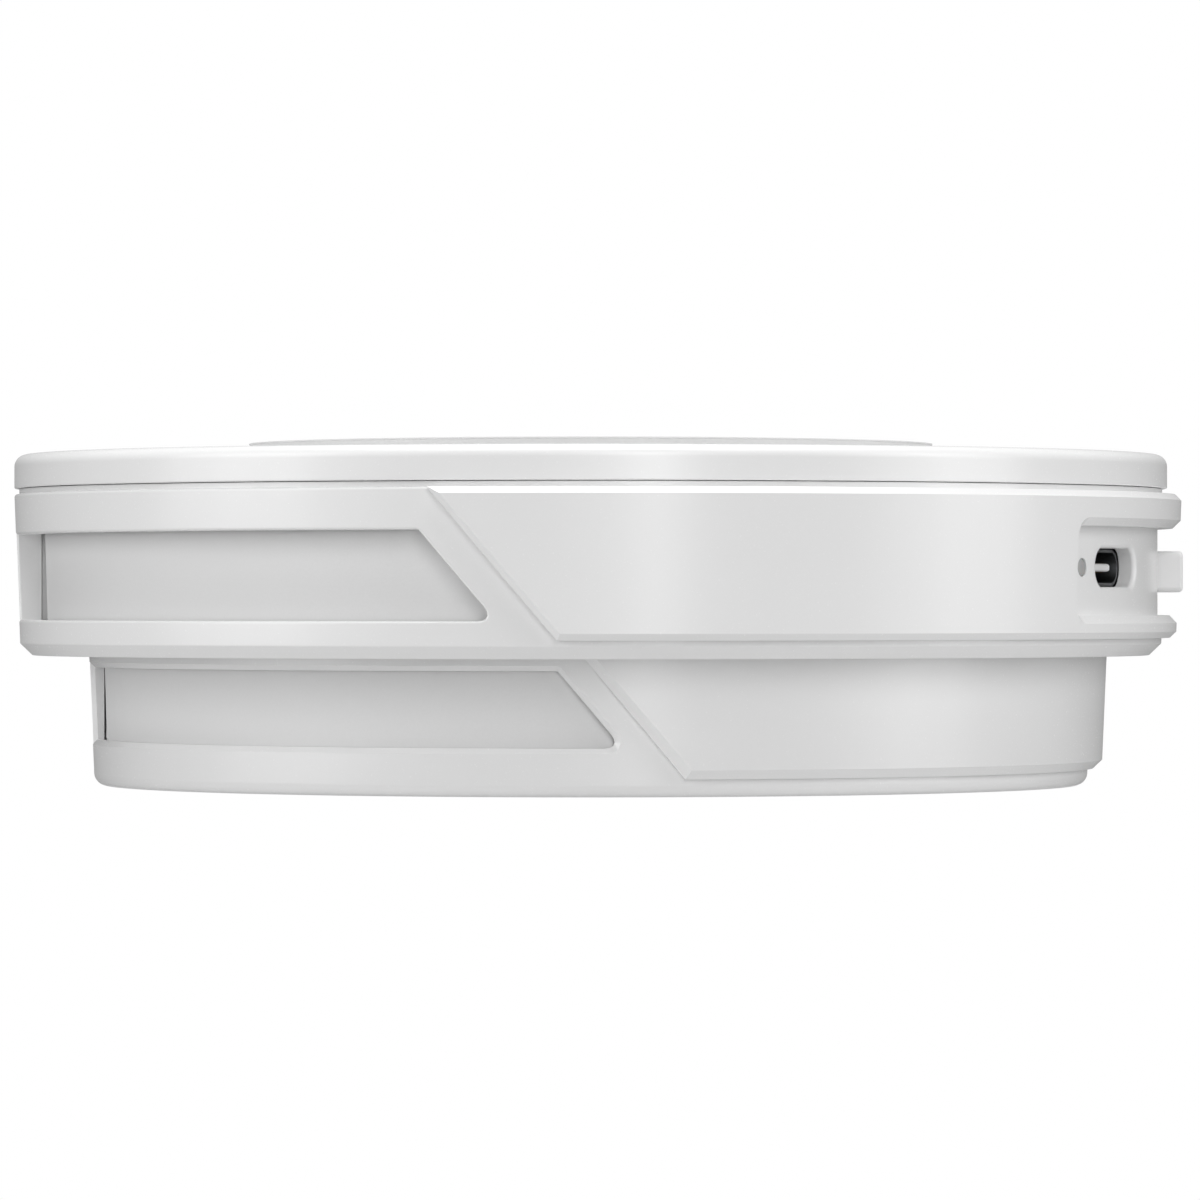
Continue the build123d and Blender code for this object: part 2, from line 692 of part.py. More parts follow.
def board_capacitors():
    parts = []
    half = CAPACITOR_FOOT_HALF
    foot_low = BOARD_BOTTOM - CAPACITOR_FOOT_T
    for x, y in CAPACITOR_CENTRES:
        can = disc(CAPACITOR_R, BOARD_BOTTOM - CAPACITOR_DROP, foot_low, x, y)
        foot = block((x - half, x + half), (y - half, y + half), (foot_low, BOARD_BOTTOM))
        parts.append(can + foot)
    return parts


def boost_inductor():
    body = block(INDUCTOR_X, INDUCTOR_Y, (BOARD_BOTTOM - INDUCTOR_T, BOARD_BOTTOM))
    return fillet(body.edges().filter_by(Axis.Z), INDUCTOR_CORNER_R)


def co_sensor():
    x, y = polar(SENSOR_DISTANCE, SENSOR_ANGLE)
    low = BOARD_BOTTOM - SENSOR_DROP
    cell = disc(SENSOR_R, low + SENSOR_CAP_T, BOARD_BOTTOM - SENSOR_STAND_OFF, x, y)
    cap = disc(SENSOR_CAP_R, low, low + SENSOR_CAP_T, x, y)
    inlet = disc(SENSOR_INLET_R, low - 1, low + SENSOR_INLET_DEPTH, x, y)
    sensor = cell + cap - inlet
    for angle in SENSOR_PIN_ANGLES:
        pin_x, pin_y = polar(SENSOR_PIN_CIRCLE_R, angle)
        sensor = sensor + disc(SENSOR_PIN_R, BOARD_BOTTOM - 1, BOARD_BOTTOM, x + pin_x, y + pin_y)
    return sensor


def co_sensor_gasket():
    x, y = polar(SENSOR_DISTANCE, SENSOR_ANGLE)
    low, high = FLOOR_TOP, BOARD_BOTTOM - SENSOR_DROP
    inner, outer = SENSOR_GASKET_R
    return disc(outer, low, high, x, y) - disc(inner, low - 1, high + 1, x, y)


def sounder_case():
    low, high = BOARD_BOTTOM - SOUNDER_DROP, BOARD_BOTTOM
    front = low + SOUNDER_FRONT_T
    case = disc(SOUNDER_R, low, high, SOUNDER_X)
    case = case - disc(SOUNDER_R - SOUNDER_SIDE_T, front, high - SOUNDER_BACK_T, SOUNDER_X)
    return case - disc(SOUNDER_OUTLET_R, low - 1, front + 1, SOUNDER_X)


def sounder_disc():
    low = BOARD_BOTTOM - PIEZO_DROP
    plate_top = low + PIEZO_PLATE_T
    plate = disc(PIEZO_PLATE_R, low, plate_top, SOUNDER_X)
    ceramic = disc(PIEZO_CERAMIC_R, plate_top, plate_top + PIEZO_CERAMIC_T, SOUNDER_X)
    return plate + ceramic


def sounder_gasket():
    low, high = FLOOR_TOP, BOARD_BOTTOM - SOUNDER_DROP
    inner, outer = SOUNDER_GASKET_R
    return disc(outer, low, high, SOUNDER_X) - disc(inner, low - 1, high + 1, SOUNDER_X)


def battery_cell():
    pouch = block(CELL_X, CELL_Y, CELL_Z)
    return fillet(pouch.edges().filter_by(Axis.Y), CELL_EDGE_R)


def battery_pad():
    return block(CELL_PAD_X, CELL_PAD_Y, (BOARD_TOP, CELL_Z[0]))


def battery_plug():
    return block(PLUG_X, PLUG_Y, PLUG_Z)


def battery_socket():
    socket = block(SOCKET_X, SOCKET_Y, (BOARD_TOP, SOCKET_TOP))
    opening = [(low - SOCKET_GAP, high + SOCKET_GAP) for low, high in (PLUG_X, PLUG_Y, PLUG_Z)]
    opening[1] = (PLUG_Y[0] - 1, opening[1][1])
    return socket - block(*opening)


def battery_lead():
    wires = []
    for run_x, start_y in LEAD_RUNS:
        start = (CELL_X[1], start_y, LEAD_Z)
        bend = (run_x, start_y, LEAD_Z)
        end = (run_x, PLUG_Y[0], LEAD_Z)
        route = FilletPolyline(start, bend, end, radius=LEAD_BEND_R)
        profile = Plane(origin=start, z_dir=(1, 0, 0)) * Circle(LEAD_R)
        wires.append(sweep(profile, path=route))
    return wires


def usb_c_shell():
    inside = [size - 2 * SHELL_T for size in SHELL_SIZE]
    back = PORT_FACE_R - SHELL_LENGTH
    shell = port_prism(SHELL_SIZE, back, PORT_FACE_R)
    return shell - port_prism(inside, back + SHELL_T, PORT_FACE_R + 1)


def usb_c_tongue():
    back = PORT_FACE_R - SHELL_LENGTH + SHELL_T
    base_size = [size - 2 * (SHELL_T + TONGUE_BASE_GAP) for size in SHELL_SIZE]
    base = port_prism(base_size, back, back + TONGUE_BASE_LENGTH)
    tongue = port_prism(TONGUE_SIZE, back, PORT_FACE_R - TONGUE_RECESS)
    return base + tongue


def side_led():
    depth, width = SIDE_LED_SIZE
    x_range = (SIDE_LED_R - depth / 2, SIDE_LED_R + depth / 2)
    led = block(x_range, (-width / 2, width / 2), (BOARD_TOP, PORT_Z + SIDE_LED_ABOVE_AXIS))
    return Rot(0, 0, LIGHT_ANGLE) * led


def side_light_pipe():
    return light_cylinder(LIGHT_R, LIGHT_BACK_R, POCKET_R - LIGHT_SET_BACK)


def side_button():
    tab = tab_prism(SIDE_BUTTON_SIZE, SIDE_BUTTON_BACK, SIDE_BUTTON_FACE, SIDE_BUTTON_CORNER_R)
    tab = fillet(tab.faces().sort_by(Axis.X)[-1].edges(), SIDE_BUTTON_EDGE_R)
    flange_front = SIDE_BUTTON_BACK + SIDE_BUTTON_FLANGE_T
    return tab + tab_prism(SIDE_BUTTON_FLANGE, SIDE_BUTTON_BACK, flange_front, SIDE_BUTTON_CORNER_R)


def side_switch():
    half = SIDE_SWITCH_HALF_WIDTH
    body = block(SIDE_SWITCH_X, (-half, half), (BOARD_TOP, SIDE_SWITCH_TOP))
    well_y, well_z = [size + SWITCH_GAP for size in SIDE_PLUNGER_HALF]
    z_range = (SIDE_BUTTON_Z - well_z, SIDE_BUTTON_Z + well_z)
    return body - block((SIDE_WELL_BACK, SIDE_SWITCH_X[1] + 1), (-well_y, well_y), z_range)


def side_switch_plunger():
    half_y, half_z = SIDE_PLUNGER_HALF
    z_range = (SIDE_BUTTON_Z - half_z, SIDE_BUTTON_Z + half_z)
    return block(SIDE_PLUNGER_X, (-half_y, half_y), z_range)


def test_button():
    flange_low = RING_TOP + BUTTON_FLANGE_GAP
    flange_top = flange_low + BUTTON_FLANGE_T
    cap = disc(BUTTON_R, TIER2_BOTTOM, flange_low)
    cap = fillet(cap.edges().group_by(Axis.Z)[0], BUTTON_EDGE_R)
    cap = cap + disc(BUTTON_FLANGE_R, flange_low, flange_top)
    cap = cap - disc(BUTTON_R - BUTTON_SIDE_T, TIER2_BOTTOM + BUTTON_FRONT_T, flange_top + 1)
    return cap + disc(BUTTON_STEM_R, TIER2_BOTTOM + 1, BOARD_BOTTOM - TEST_PLUNGER_DROP[1])


def test_switch():
    sides = (-TEST_SWITCH_HALF, TEST_SWITCH_HALF)
    low = BOARD_BOTTOM - TEST_SWITCH_T
    body = block(sides, sides, (low, BOARD_BOTTOM))
    return body - disc(TEST_PLUNGER_R + SWITCH_GAP, low - 1, BOARD_BOTTOM - TEST_WELL_DROP)


def test_switch_plunger():
    high, low = [BOARD_BOTTOM - drop for drop in TEST_PLUNGER_DROP]
    return disc(TEST_PLUNGER_R, low, high)


def light_ring():
    ring = turned([
        (RING_INNER_R, TIER2_BOTTOM + RING_SET_UP),
        (RING_OUTER_R, TIER2_BOTTOM + RING_SET_UP),
        (RING_OUTER_R, FLOOR_TOP),
        (RING_FLANGE_R, FLOOR_TOP),
        (RING_FLANGE_R, RING_TOP),
        (RING_INNER_R, RING_TOP),
    ])
    for y in RING_PIN_Y:
        ring = ring + disc(RING_PIN_R, RING_TOP - RING_PIN_GAP, BOARD_BOTTOM - LED_T - RING_PIN_GAP, 0, y)
    return ring


def status_leds():
    half_x, half_y = LED_HALF_WIDTHS
    z_range = (BOARD_BOTTOM - LED_T, BOARD_BOTTOM)
    return [block((-half_x, half_x), (y - half_y, y + half_y), z_range) for y in RING_PIN_Y]


MAKERS = (
    adhesive_pad,
    mounting_plate,
    rear_cover,
    case_screws,
    upper_housing,
    upper_vent_liner,
    insect_screen,
    front_cover,
    lower_vent_liner,
    main_board,
    board_screws,
    control_module,
    board_capacitors,
    boost_inductor,
    co_sensor,
    co_sensor_gasket,
    sounder_case,
    sounder_disc,
    sounder_gasket,
    battery_cell,
    battery_pad,
    battery_plug,
    battery_socket,
    battery_lead,
    usb_c_shell,
    usb_c_tongue,
    side_led,
    side_light_pipe,
    side_button,
    side_switch,
    side_switch_plunger,
    test_button,
    test_switch,
    test_switch_plunger,
    light_ring,
    status_leds,
)

os.makedirs("parts", exist_ok=True)
for maker in MAKERS:
    shape = maker()
    if isinstance(shape, list):
        shape = Compound(children=[piece.solid() for piece in shape])
    export_step(shape, f"parts/{maker.__name__}.step")
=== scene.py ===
from math import atan2, cos, degrees, pi, radians, sin, sqrt, tan

import bmesh
import bpy
from mathutils import Matrix, Vector


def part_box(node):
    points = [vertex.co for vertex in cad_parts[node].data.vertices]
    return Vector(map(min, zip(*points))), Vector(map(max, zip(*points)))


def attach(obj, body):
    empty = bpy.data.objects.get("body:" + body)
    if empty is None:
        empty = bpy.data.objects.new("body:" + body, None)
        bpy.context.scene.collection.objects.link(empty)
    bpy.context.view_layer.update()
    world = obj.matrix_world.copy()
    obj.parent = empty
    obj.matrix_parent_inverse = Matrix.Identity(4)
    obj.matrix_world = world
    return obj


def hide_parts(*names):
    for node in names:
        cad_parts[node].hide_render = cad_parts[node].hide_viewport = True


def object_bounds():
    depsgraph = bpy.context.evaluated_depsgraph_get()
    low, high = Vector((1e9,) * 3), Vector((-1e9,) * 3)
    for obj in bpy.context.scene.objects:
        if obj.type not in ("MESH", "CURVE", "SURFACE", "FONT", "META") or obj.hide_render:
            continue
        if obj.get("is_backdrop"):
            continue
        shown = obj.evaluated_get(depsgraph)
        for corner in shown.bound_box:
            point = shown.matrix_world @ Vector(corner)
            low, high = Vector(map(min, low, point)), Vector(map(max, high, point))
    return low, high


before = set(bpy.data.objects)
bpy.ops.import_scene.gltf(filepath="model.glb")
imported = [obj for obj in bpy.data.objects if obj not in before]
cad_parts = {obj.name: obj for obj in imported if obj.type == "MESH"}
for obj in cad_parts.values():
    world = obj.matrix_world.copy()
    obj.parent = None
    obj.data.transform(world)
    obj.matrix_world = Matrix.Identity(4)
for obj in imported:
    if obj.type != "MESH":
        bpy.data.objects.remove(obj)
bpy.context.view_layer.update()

scene = bpy.context.scene
print("frame loaded:", len(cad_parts), "nodes")

# Shapes are worked out in millimetres and brought to metres when a piece is finished.
metre = 0.001


def spanMm(node):
    low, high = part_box(node)
    return low / metre, high / metre


def linearColour(code, alpha=1.0):
    channels = [int(code[start:start + 2], 16) / 255 for start in (1, 3, 5)]
    return tuple(c / 12.92 if c <= 0.04045 else ((c + 0.055) / 1.055) ** 2.4 for c in channels) + (alpha,)


# Camera, lights and floor

studio = {
    "lens": 213.6,                              # mm, on a 36 mm sensor
    "cameraPlace": (0.0008, -0.6197, -0.01355),
    "dome": 0.13,                               # faint light from all round
    "overheadSize": 1.2,
    "overheadHeight": 1.2,
    "overheadPower": 15.4,
    "floorDrop": 0.62,                          # floor below the ceiling face, m
    "floorRadius": 2.4,
    "stripSize": (0.15, 0.70),
    "stripHeight": 0.24,
    "stripDistance": 0.9,
    # bearing from the camera side in degrees, power in watts
    "strips": ((-84, 0.82), (-72, 1.32), (-60, 1.40), (-48, 0.36), (0, 0.46), (12, 2.10),
               (60, 0.73), (72, 1.49), (84, 1.03)),
}

scene.view_settings.view_transform = "Standard"
cameraData = bpy.data.cameras.new("camera")
cameraData.lens = studio["lens"]
cameraData.sensor_width = 36
camera = bpy.data.objects.new("camera", cameraData)
camera.location = studio["cameraPlace"]
camera.rotation_euler = (pi / 2, 0, 0)
scene.collection.objects.link(camera)
scene.camera = camera


def softbox(name, size, place, power):
    lamp = bpy.data.lights.new(name, "AREA")
    lamp.shape = "RECTANGLE"
    lamp.size, lamp.size_y = size
    lamp.energy = power
    box = bpy.data.objects.new(name, lamp)
    box.location = place
    box.rotation_euler = (Vector((0, 0, -0.015)) - box.location).to_track_quat("-Z", "Y").to_euler()
    scene.collection.objects.link(box)


for bearing, power in studio["strips"]:
    turn = radians(bearing)
    reach = studio["stripDistance"]
    softbox(f"strip{bearing}", studio["stripSize"], (reach * sin(turn), -reach * cos(turn), studio["stripHeight"]), power)
softbox("overhead", (studio["overheadSize"],) * 2, (0, 0, studio["overheadHeight"]), studio["overheadPower"])
print("studio set")


def addNode(tree, kind, links=None, **settings):
    node = tree.nodes.new(kind)
    for key, value in settings.items():
        if key in node.inputs:
            node.inputs[key].default_value = value
        else:
            setattr(node, key, value)
    for socket, source in (links or {}).items():
        tree.links.new(source, node.inputs[socket])
    return node


# The dome lights the part a little below white, while the backdrop itself reads pure white.
world = bpy.data.worlds.new("studioDome")
scene.world = world
world.use_nodes = True
tree = world.node_tree
tree.nodes.clear()
seen = addNode(tree, "ShaderNodeLightPath")
dome = addNode(tree, "ShaderNodeBackground", Strength=studio["dome"])
backdrop = addNode(tree, "ShaderNodeBackground", Strength=1.0)
for node in (dome, backdrop):
    node.inputs["Color"].default_value = (1, 1, 1, 1)
pick = addNode(tree, "ShaderNodeMixShader")
tree.links.new(seen.outputs["Is Camera Ray"], pick.inputs[0])
tree.links.new(dome.outputs[0], pick.inputs[1])
tree.links.new(backdrop.outputs[0], pick.inputs[2])
addNode(tree, "ShaderNodeOutputWorld", {"Surface": pick.outputs[0]})


# Materials. Each starts from the real stuff; patterns are sized in millimetres.


def newMaterial(name, **shaderValues):
    material = bpy.data.materials.new(name)
    material.use_nodes = True
    tree = material.node_tree
    shader = tree.nodes["Principled BSDF"]
    for key, value in shaderValues.items():
        shader.inputs[key.replace("_", " ")].default_value = value
    return material, tree, shader


def mixTone(tree, factor, first, second):
    # two sRGB colours blended by a pattern
    tone = addNode(tree, "ShaderNodeMix", {"Factor": factor}, data_type="RGBA")
    tone.inputs["A"].default_value = linearColour(first)
    tone.inputs["B"].default_value = linearColour(second)
    return tone.outputs["Result"]


def grained(name, colours, roughness, grainMm, reliefMm, detail=3.0, stretch=(1, 1, 1), roughSpread=0.04, **more):
    # a fine random grain that moves tone, gloss and height together
    material, tree, shader = newMaterial(name, **more)
    place = addNode(tree, "ShaderNodeTexCoord")
    turn = addNode(tree, "ShaderNodeMapping", {"Vector": place.outputs["Object"]}, Scale=stretch)
    grain = addNode(tree, "ShaderNodeTexNoise", {"Vector": turn.outputs["Vector"]},
                    Scale=1 / (grainMm * metre), Detail=detail)
    cloud = addNode(tree, "ShaderNodeTexNoise", {"Vector": place.outputs["Object"]},
                    Scale=1 / (14 * metre), Detail=1.0)      # slow drift over the part, 14 mm
    both = addNode(tree, "ShaderNodeMath", {0: grain.outputs["Fac"], 1: cloud.outputs["Fac"]}, operation="MULTIPLY")
    tree.links.new(mixTone(tree, both.outputs[0], *colours), shader.inputs["Base Color"])
    gloss = addNode(tree, "ShaderNodeMapRange", {"Value": grain.outputs["Fac"]})
    gloss.inputs["To Min"].default_value = roughness - roughSpread
    gloss.inputs["To Max"].default_value = roughness + roughSpread
    tree.links.new(gloss.outputs["Result"], shader.inputs["Roughness"])
    relief = addNode(tree, "ShaderNodeBump", {"Height": grain.outputs["Fac"]}, Strength=1.0, Distance=reliefMm * metre)
    tree.links.new(relief.outputs["Normal"], shader.inputs["Normal"])
    return material, tree, shader, grain


# ABS, moulded in a spark-eroded tool: a soft satin that spreads the softboxes along the wall
whiteAbs = grained("ABS moulded satin white", ("#F0F0F0", "#F4F4F4"), 0.27, 0.16, 0.0002, roughSpread=0.01, IOR=1.6)[0]

# The side button, moulded on its own: the same resin, a little greyer and duller all over
buttonAbs = grained("ABS moulded button", ("#E4E4E4", "#E9E9E9"), 0.38, 0.2, 0.0005, roughSpread=0.02, IOR=1.5)[0]

# The same ABS, duller, with painted shade: a darker tone for the shade that falls inside recesses, so windows read as
# recesses
recessShadeAbs = grained("ABS matt inner wall painted shade", ("#E4E4E4", "#ECECEC"), 0.55, 0.22, 0.003, IOR=1.5)[0]

# Closed-cell polyethylene foam: matt grey with a pebbled cut edge
greyFoam, tree, shader, grain = grained("PE foam closed cell", ("#D2D2D2", "#E0E0E0"), 0.85, 0.35, 0.01)
place = addNode(tree, "ShaderNodeTexCoord")
cells = addNode(tree, "ShaderNodeTexVoronoi", {"Vector": place.outputs["Object"]}, Scale=1 / (0.4 * metre))   # 0.4 mm cells
relief = addNode(tree, "ShaderNodeBump", {"Height": cells.outputs["Distance"]}, Strength=0.5, Distance=0.03 * metre)
tree.links.new(relief.outputs["Normal"], shader.inputs["Normal"])

# Zinc plate over steel: bright grey, slightly blotched
zincSteel = grained("steel zinc plated", ("#B9BCC0", "#D2D4D8"), 0.32, 0.5, 0.002, Metallic=1.0)[0]

# Stainless wire cloth, 0.8 mm mesh: wires stand out from holes painted dark, the painted shade of the chamber seen
# through them
wireMesh, tree, shader = newMaterial("stainless wire cloth woven", Metallic=1.0, Roughness=0.35)
place = addNode(tree, "ShaderNodeTexCoord")
polar = addNode(tree, "ShaderNodeTexGradient", {"Vector": place.outputs["Object"]}, gradient_type="RADIAL")
spread = addNode(tree, "ShaderNodeMath", {0: polar.outputs["Fac"]}, operation="MULTIPLY")
spread.inputs[1].default_value = 2 * pi * 46.5 * metre                  # round the wall, in metres
split = addNode(tree, "ShaderNodeSeparateXYZ", {"Vector": place.outputs["Object"]})
waves = []
for source in (spread.outputs[0], split.outputs["Z"]):
    phase = addNode(tree, "ShaderNodeMath", {0: source}, operation="MULTIPLY")
    phase.inputs[1].default_value = 2 * pi / (0.8 * metre)
    wave = addNode(tree, "ShaderNodeMath", {0: phase.outputs[0]}, operation="SINE")
    waves.append(wave.outputs[0])
cloth = addNode(tree, "ShaderNodeMath", {0: waves[0], 1: waves[1]}, operation="MAXIMUM")
# the near-black tone in the holes is painted shade
tree.links.new(mixTone(tree, cloth.outputs[0], "#1C1C1E", "#C4C4C8"), shader.inputs["Base Color"])
relief = addNode(tree, "ShaderNodeBump", {"Height": cloth.outputs[0]}, Strength=0.5, Distance=0.1 * metre)
tree.links.new(relief.outputs["Normal"], shader.inputs["Normal"])

# FR4 board under green solder mask, its copper showing as slightly raised, lighter tracks
solderMask, tree, shader = newMaterial("FR4 solder masked", Roughness=0.38, IOR=1.5)
place = addNode(tree, "ShaderNodeTexCoord")
tracks = addNode(tree, "ShaderNodeTexBrick", {"Vector": place.outputs["Object"]}, Scale=1 / (3 * metre),
                 offset=0.37, squash=1.6, squash_frequency=3)
tracks.inputs["Mortar Size"].default_value = 0.05
tracks.inputs["Color1"].default_value = linearColour("#155A36")
tracks.inputs["Color2"].default_value = linearColour("#1A633D")
tracks.inputs["Mortar"].default_value = linearColour("#2F8658")
tree.links.new(tracks.outputs["Color"], shader.inputs["Base Color"])
relief = addNode(tree, "ShaderNodeBump", {"Height": tracks.outputs["Fac"]}, Strength=0.6, Distance=0.03 * metre)
tree.links.new(relief.outputs["Normal"], shader.inputs["Normal"])

# Nickel silver, drawn: a dull metal with a faint rolled grain
nickelShield = grained("nickel silver drawn", ("#A9A8A2", "#C3C2BC"), 0.36, 0.4, 0.002, stretch=(1, 6, 1),
                       Metallic=1.0)[0]

# PVC sleeve on the capacitors: near black
canSleeve, tree, shader, grain = grained("PVC shrink sleeve", ("#17181C", "#24262C"), 0.4, 0.3, 0.002)

# Ferrite and epoxy: dark, gritty, almost without gloss
ferrite = grained("ferrite pressed", ("#2B2B2C", "#3C3C3D"), 0.7, 0.12, 0.008)[0]

# Stainless can of the gas cell, turned: fine rings catch the light
sensorSteel = grained("stainless steel turned", ("#B4B6B8", "#CFD1D3"), 0.3, 0.3, 0.002, stretch=(1, 1, 8),
                      Metallic=1.0)[0]

# Glass-filled PBT: black with pale fibre flecks
blackPlastic = grained("PBT moulded black", ("#141414", "#2A2A2A"), 0.5, 0.18, 0.003)[0]

# Acetal stems: off-white and waxy
stemPlastic = grained("acetal moulded", ("#DCD9D0", "#E8E5DC"), 0.42, 0.2, 0.0015)[0]

# Brass disc with a silvered ceramic inside it
piezoBrass, tree, shader, grain = grained("brass rolled", ("#B8924A", "#CFAA60"), 0.33, 0.25, 0.001,
                                          stretch=(1, 5, 1), Metallic=1.0)
low, high = spanMm("sounder_disc")
place = addNode(tree, "ShaderNodeTexCoord")
centred = addNode(tree, "ShaderNodeMapping", {"Vector": place.outputs["Object"]}, vector_type="TEXTURE",
                  Location=((low.x + high.x) / 2 * metre, 0, (low.z + high.z) / 2 * metre))
away = addNode(tree, "ShaderNodeVectorMath", {0: centred.outputs["Vector"]}, operation="LENGTH")
inner = addNode(tree, "ShaderNodeMath", {0: away.outputs["Value"]}, operation="LESS_THAN")
inner.inputs[1].default_value = 8.1 * metre
ceramic = addNode(tree, "ShaderNodeMix", {"Factor": inner.outputs[0]}, data_type="RGBA")
tree.links.new(shader.inputs["Base Color"].links[0].from_socket, ceramic.inputs["A"])
ceramic.inputs["B"].default_value = linearColour("#D9D8D2")
tree.links.new(ceramic.outputs["Result"], shader.inputs["Base Color"])

# Aluminium laminate pouch: soft silver with shallow creases
pouchFoil = grained("aluminium laminate pouch", ("#B5B8BA", "#CBCED0"), 0.38, 3.0, 0.08, detail=5.0, Metallic=0.9)[0]

# Natural nylon connectors
connectorNylon = grained("nylon natural moulded", ("#E4DCC4", "#EFE8D2"), 0.45, 0.25, 0.002)[0]

# PVC leads: the inner run red, the outer one black
leadSheath, tree, shader, grain = grained("PVC wire sheath", ("#A81D1D", "#B92828"), 0.42, 0.3, 0.002)
place = addNode(tree, "ShaderNodeTexCoord")
split = addNode(tree, "ShaderNodeSeparateXYZ", {"Vector": place.outputs["Object"]})
beyond = addNode(tree, "ShaderNodeMath", {0: split.outputs["X"]}, operation="GREATER_THAN")
beyond.inputs[1].default_value = 29.1 * metre
before = addNode(tree, "ShaderNodeMath", {0: split.outputs["Y"]}, operation="LESS_THAN")
before.inputs[1].default_value = 3.9 * metre
outerRun = addNode(tree, "ShaderNodeMath", {0: beyond.outputs[0], 1: before.outputs[0]}, operation="MAXIMUM")
sheath = addNode(tree, "ShaderNodeMix", {"Factor": outerRun.outputs[0]}, data_type="RGBA")
tree.links.new(shader.inputs["Base Color"].links[0].from_socket, sheath.inputs["A"])
sheath.inputs["B"].default_value = linearColour("#1B1B1B")
tree.links.new(sheath.outputs["Result"], shader.inputs["Base Color"])

# Stamped steel port under dull nickel: dark inside, a thin bright lip
portSteel = grained("steel nickel plated stamped", ("#77797B", "#8E9092"), 0.34, 0.2, 0.001, stretch=(4, 1, 1),
                    Metallic=1.0)[0]

# Liquid-crystal polymer tongue, pale and matt
tonguePlastic = grained("LCP moulded pale", ("#E6E6E6", "#EEEEEE"), 0.5, 0.1, 0.001)[0]

# Contact strips: flash gold over nickel
contactGold = grained("gold plated contact", ("#C9A24E", "#DDB863"), 0.25, 0.15, 0.0005, Metallic=1.0)[0]

# Frosted polycarbonate: light sinks in a little, so the pin reads grey against the white wall
frostedLens = grained("polycarbonate frosted grey", ("#A6A6A6", "#B4B4B4"), 0.42, 0.1, 0.002,
                      Subsurface_Weight=0.2, Subsurface_Scale=0.0004)[0]

# Milky diffuser for the ring
milkyRing = grained("polycarbonate milky", ("#DDE3E2", "#E8EDEC"), 0.4, 0.12, 0.0015,
                    Subsurface_Weight=0.35, Subsurface_Scale=0.0006)[0]

# Clear epoxy over yellow phosphor
ledEpoxy = grained("epoxy over phosphor", ("#E2D68A", "#EFE6A8"), 0.25, 0.4, 0.001, Coat_Weight=0.5)[0]

# Painted board: pale, even and dull
paleFloor = grained("painted board pale", ("#EDEDED", "#F3F3F3"), 0.7, 2.0, 0.01)[0]
print("materials ready")


# Mesh helpers


def facesWhere(bm, test):
    return [face for face in bm.faces if test(face.calc_center_median())]


def edgesWhere(bm, test):
    return [edge for edge in bm.edges if all(test(vert.co) for vert in edge.verts)]


def slicePlane(bm, faces, point, normal):
    geom = set(faces)
    for face in faces:
        geom.update(face.verts)
        geom.update(face.edges)
    bmesh.ops.bisect_plane(bm, geom=list(geom), dist=1e-4, plane_co=point, plane_no=normal)


def bevelEdges(bm, edges, size, segments=1):
    bmesh.ops.bevel(bm, geom=edges, offset=size, offset_type="OFFSET", segments=segments,
                    profile=0.5, affect="EDGES", clamp_overlap=False, material=-1)


def pushFaces(bm, faces, shift):
    made = bmesh.ops.extrude_face_region(bm, geom=faces)["geom"]
    bmesh.ops.translate(bm, verts=[item for item in made if isinstance(item, bmesh.types.BMVert)], vec=shift)
    left = [face for face in faces if face.is_valid]
    if left:
        bmesh.ops.delete(bm, geom=left, context="FACES_ONLY")
    return [item for item in made if isinstance(item, bmesh.types.BMFace)]


def roundedLoop(bm, width, height, corner, steps=48):
    # loop in the XZ plane, its corners rounded; half a step of turn keeps points off the axes
    made = bmesh.ops.create_circle(bm, segments=steps, radius=corner)["verts"]
    bmesh.ops.rotate(bm, verts=made, cent=(0, 0, 0), matrix=Matrix.Rotation(pi / steps, 3, "Z"))
    bmesh.ops.rotate(bm, verts=made, cent=(0, 0, 0), matrix=Matrix.Rotation(pi / 2, 3, "X"))
    for vert in made:
        vert.co.x += (width / 2 - corner) * (1 if vert.co.x > 0 else -1)
        vert.co.z += (height / 2 - corner) * (1 if vert.co.z > 0 else -1)
    loop = set(made)
    return made, [edge for edge in bm.edges if edge.verts[0] in loop and edge.verts[1] in loop]


def cornerNormals(bm, sharp=32):
    # keeps wide faces flat and lets narrow bevels shade smoothly between them
    layer = bm.loops.layers.float_vector.get("corner") or bm.loops.layers.float_vector.new("corner")
    bm.normal_update()
    limit = cos(radians(sharp))
    area = {face: face.calc_area() for face in bm.faces}
    for face in bm.faces:
        for loop in face.loops:
            total = Vector()
            for other in loop.vert.link_faces:
                if other.normal.dot(face.normal) > limit:
                    total += other.normal * area[other]
            loop[layer] = total.normalized() if total.length > 1e-12 else face.normal


def finishPiece(name, bm, body, nodes=(), materials=(), sharp=32):
    if "corner" not in bm.loops.layers.float_vector:
        bmesh.ops.remove_doubles(bm, verts=bm.verts, dist=1e-3)
        bmesh.ops.recalc_face_normals(bm, faces=bm.faces)
        cornerNormals(bm, sharp)
    bmesh.ops.scale(bm, verts=bm.verts, vec=(metre, metre, metre))
    mesh = bpy.data.meshes.new(name)
    bm.to_mesh(mesh)
    bm.free()
    mesh.shade_smooth()
    mesh.normals_split_custom_set([value.vector.copy() for value in mesh.attributes["corner"].data])
    mesh.attributes.remove(mesh.attributes["corner"])
    piece = bpy.data.objects.new(name, mesh)
    scene.collection.objects.link(piece)
    for material in materials:
        mesh.materials.append(material)
    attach(piece, body)
    if nodes:
        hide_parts(*nodes)
    print("made", name, len(mesh.polygons), "faces")
    return piece


# Tier walls are modelled flat, as if unrolled, then bent round the axis.
# Flat x runs along the wall (plan angle times the tier's radius), -y is outwards and z is up.


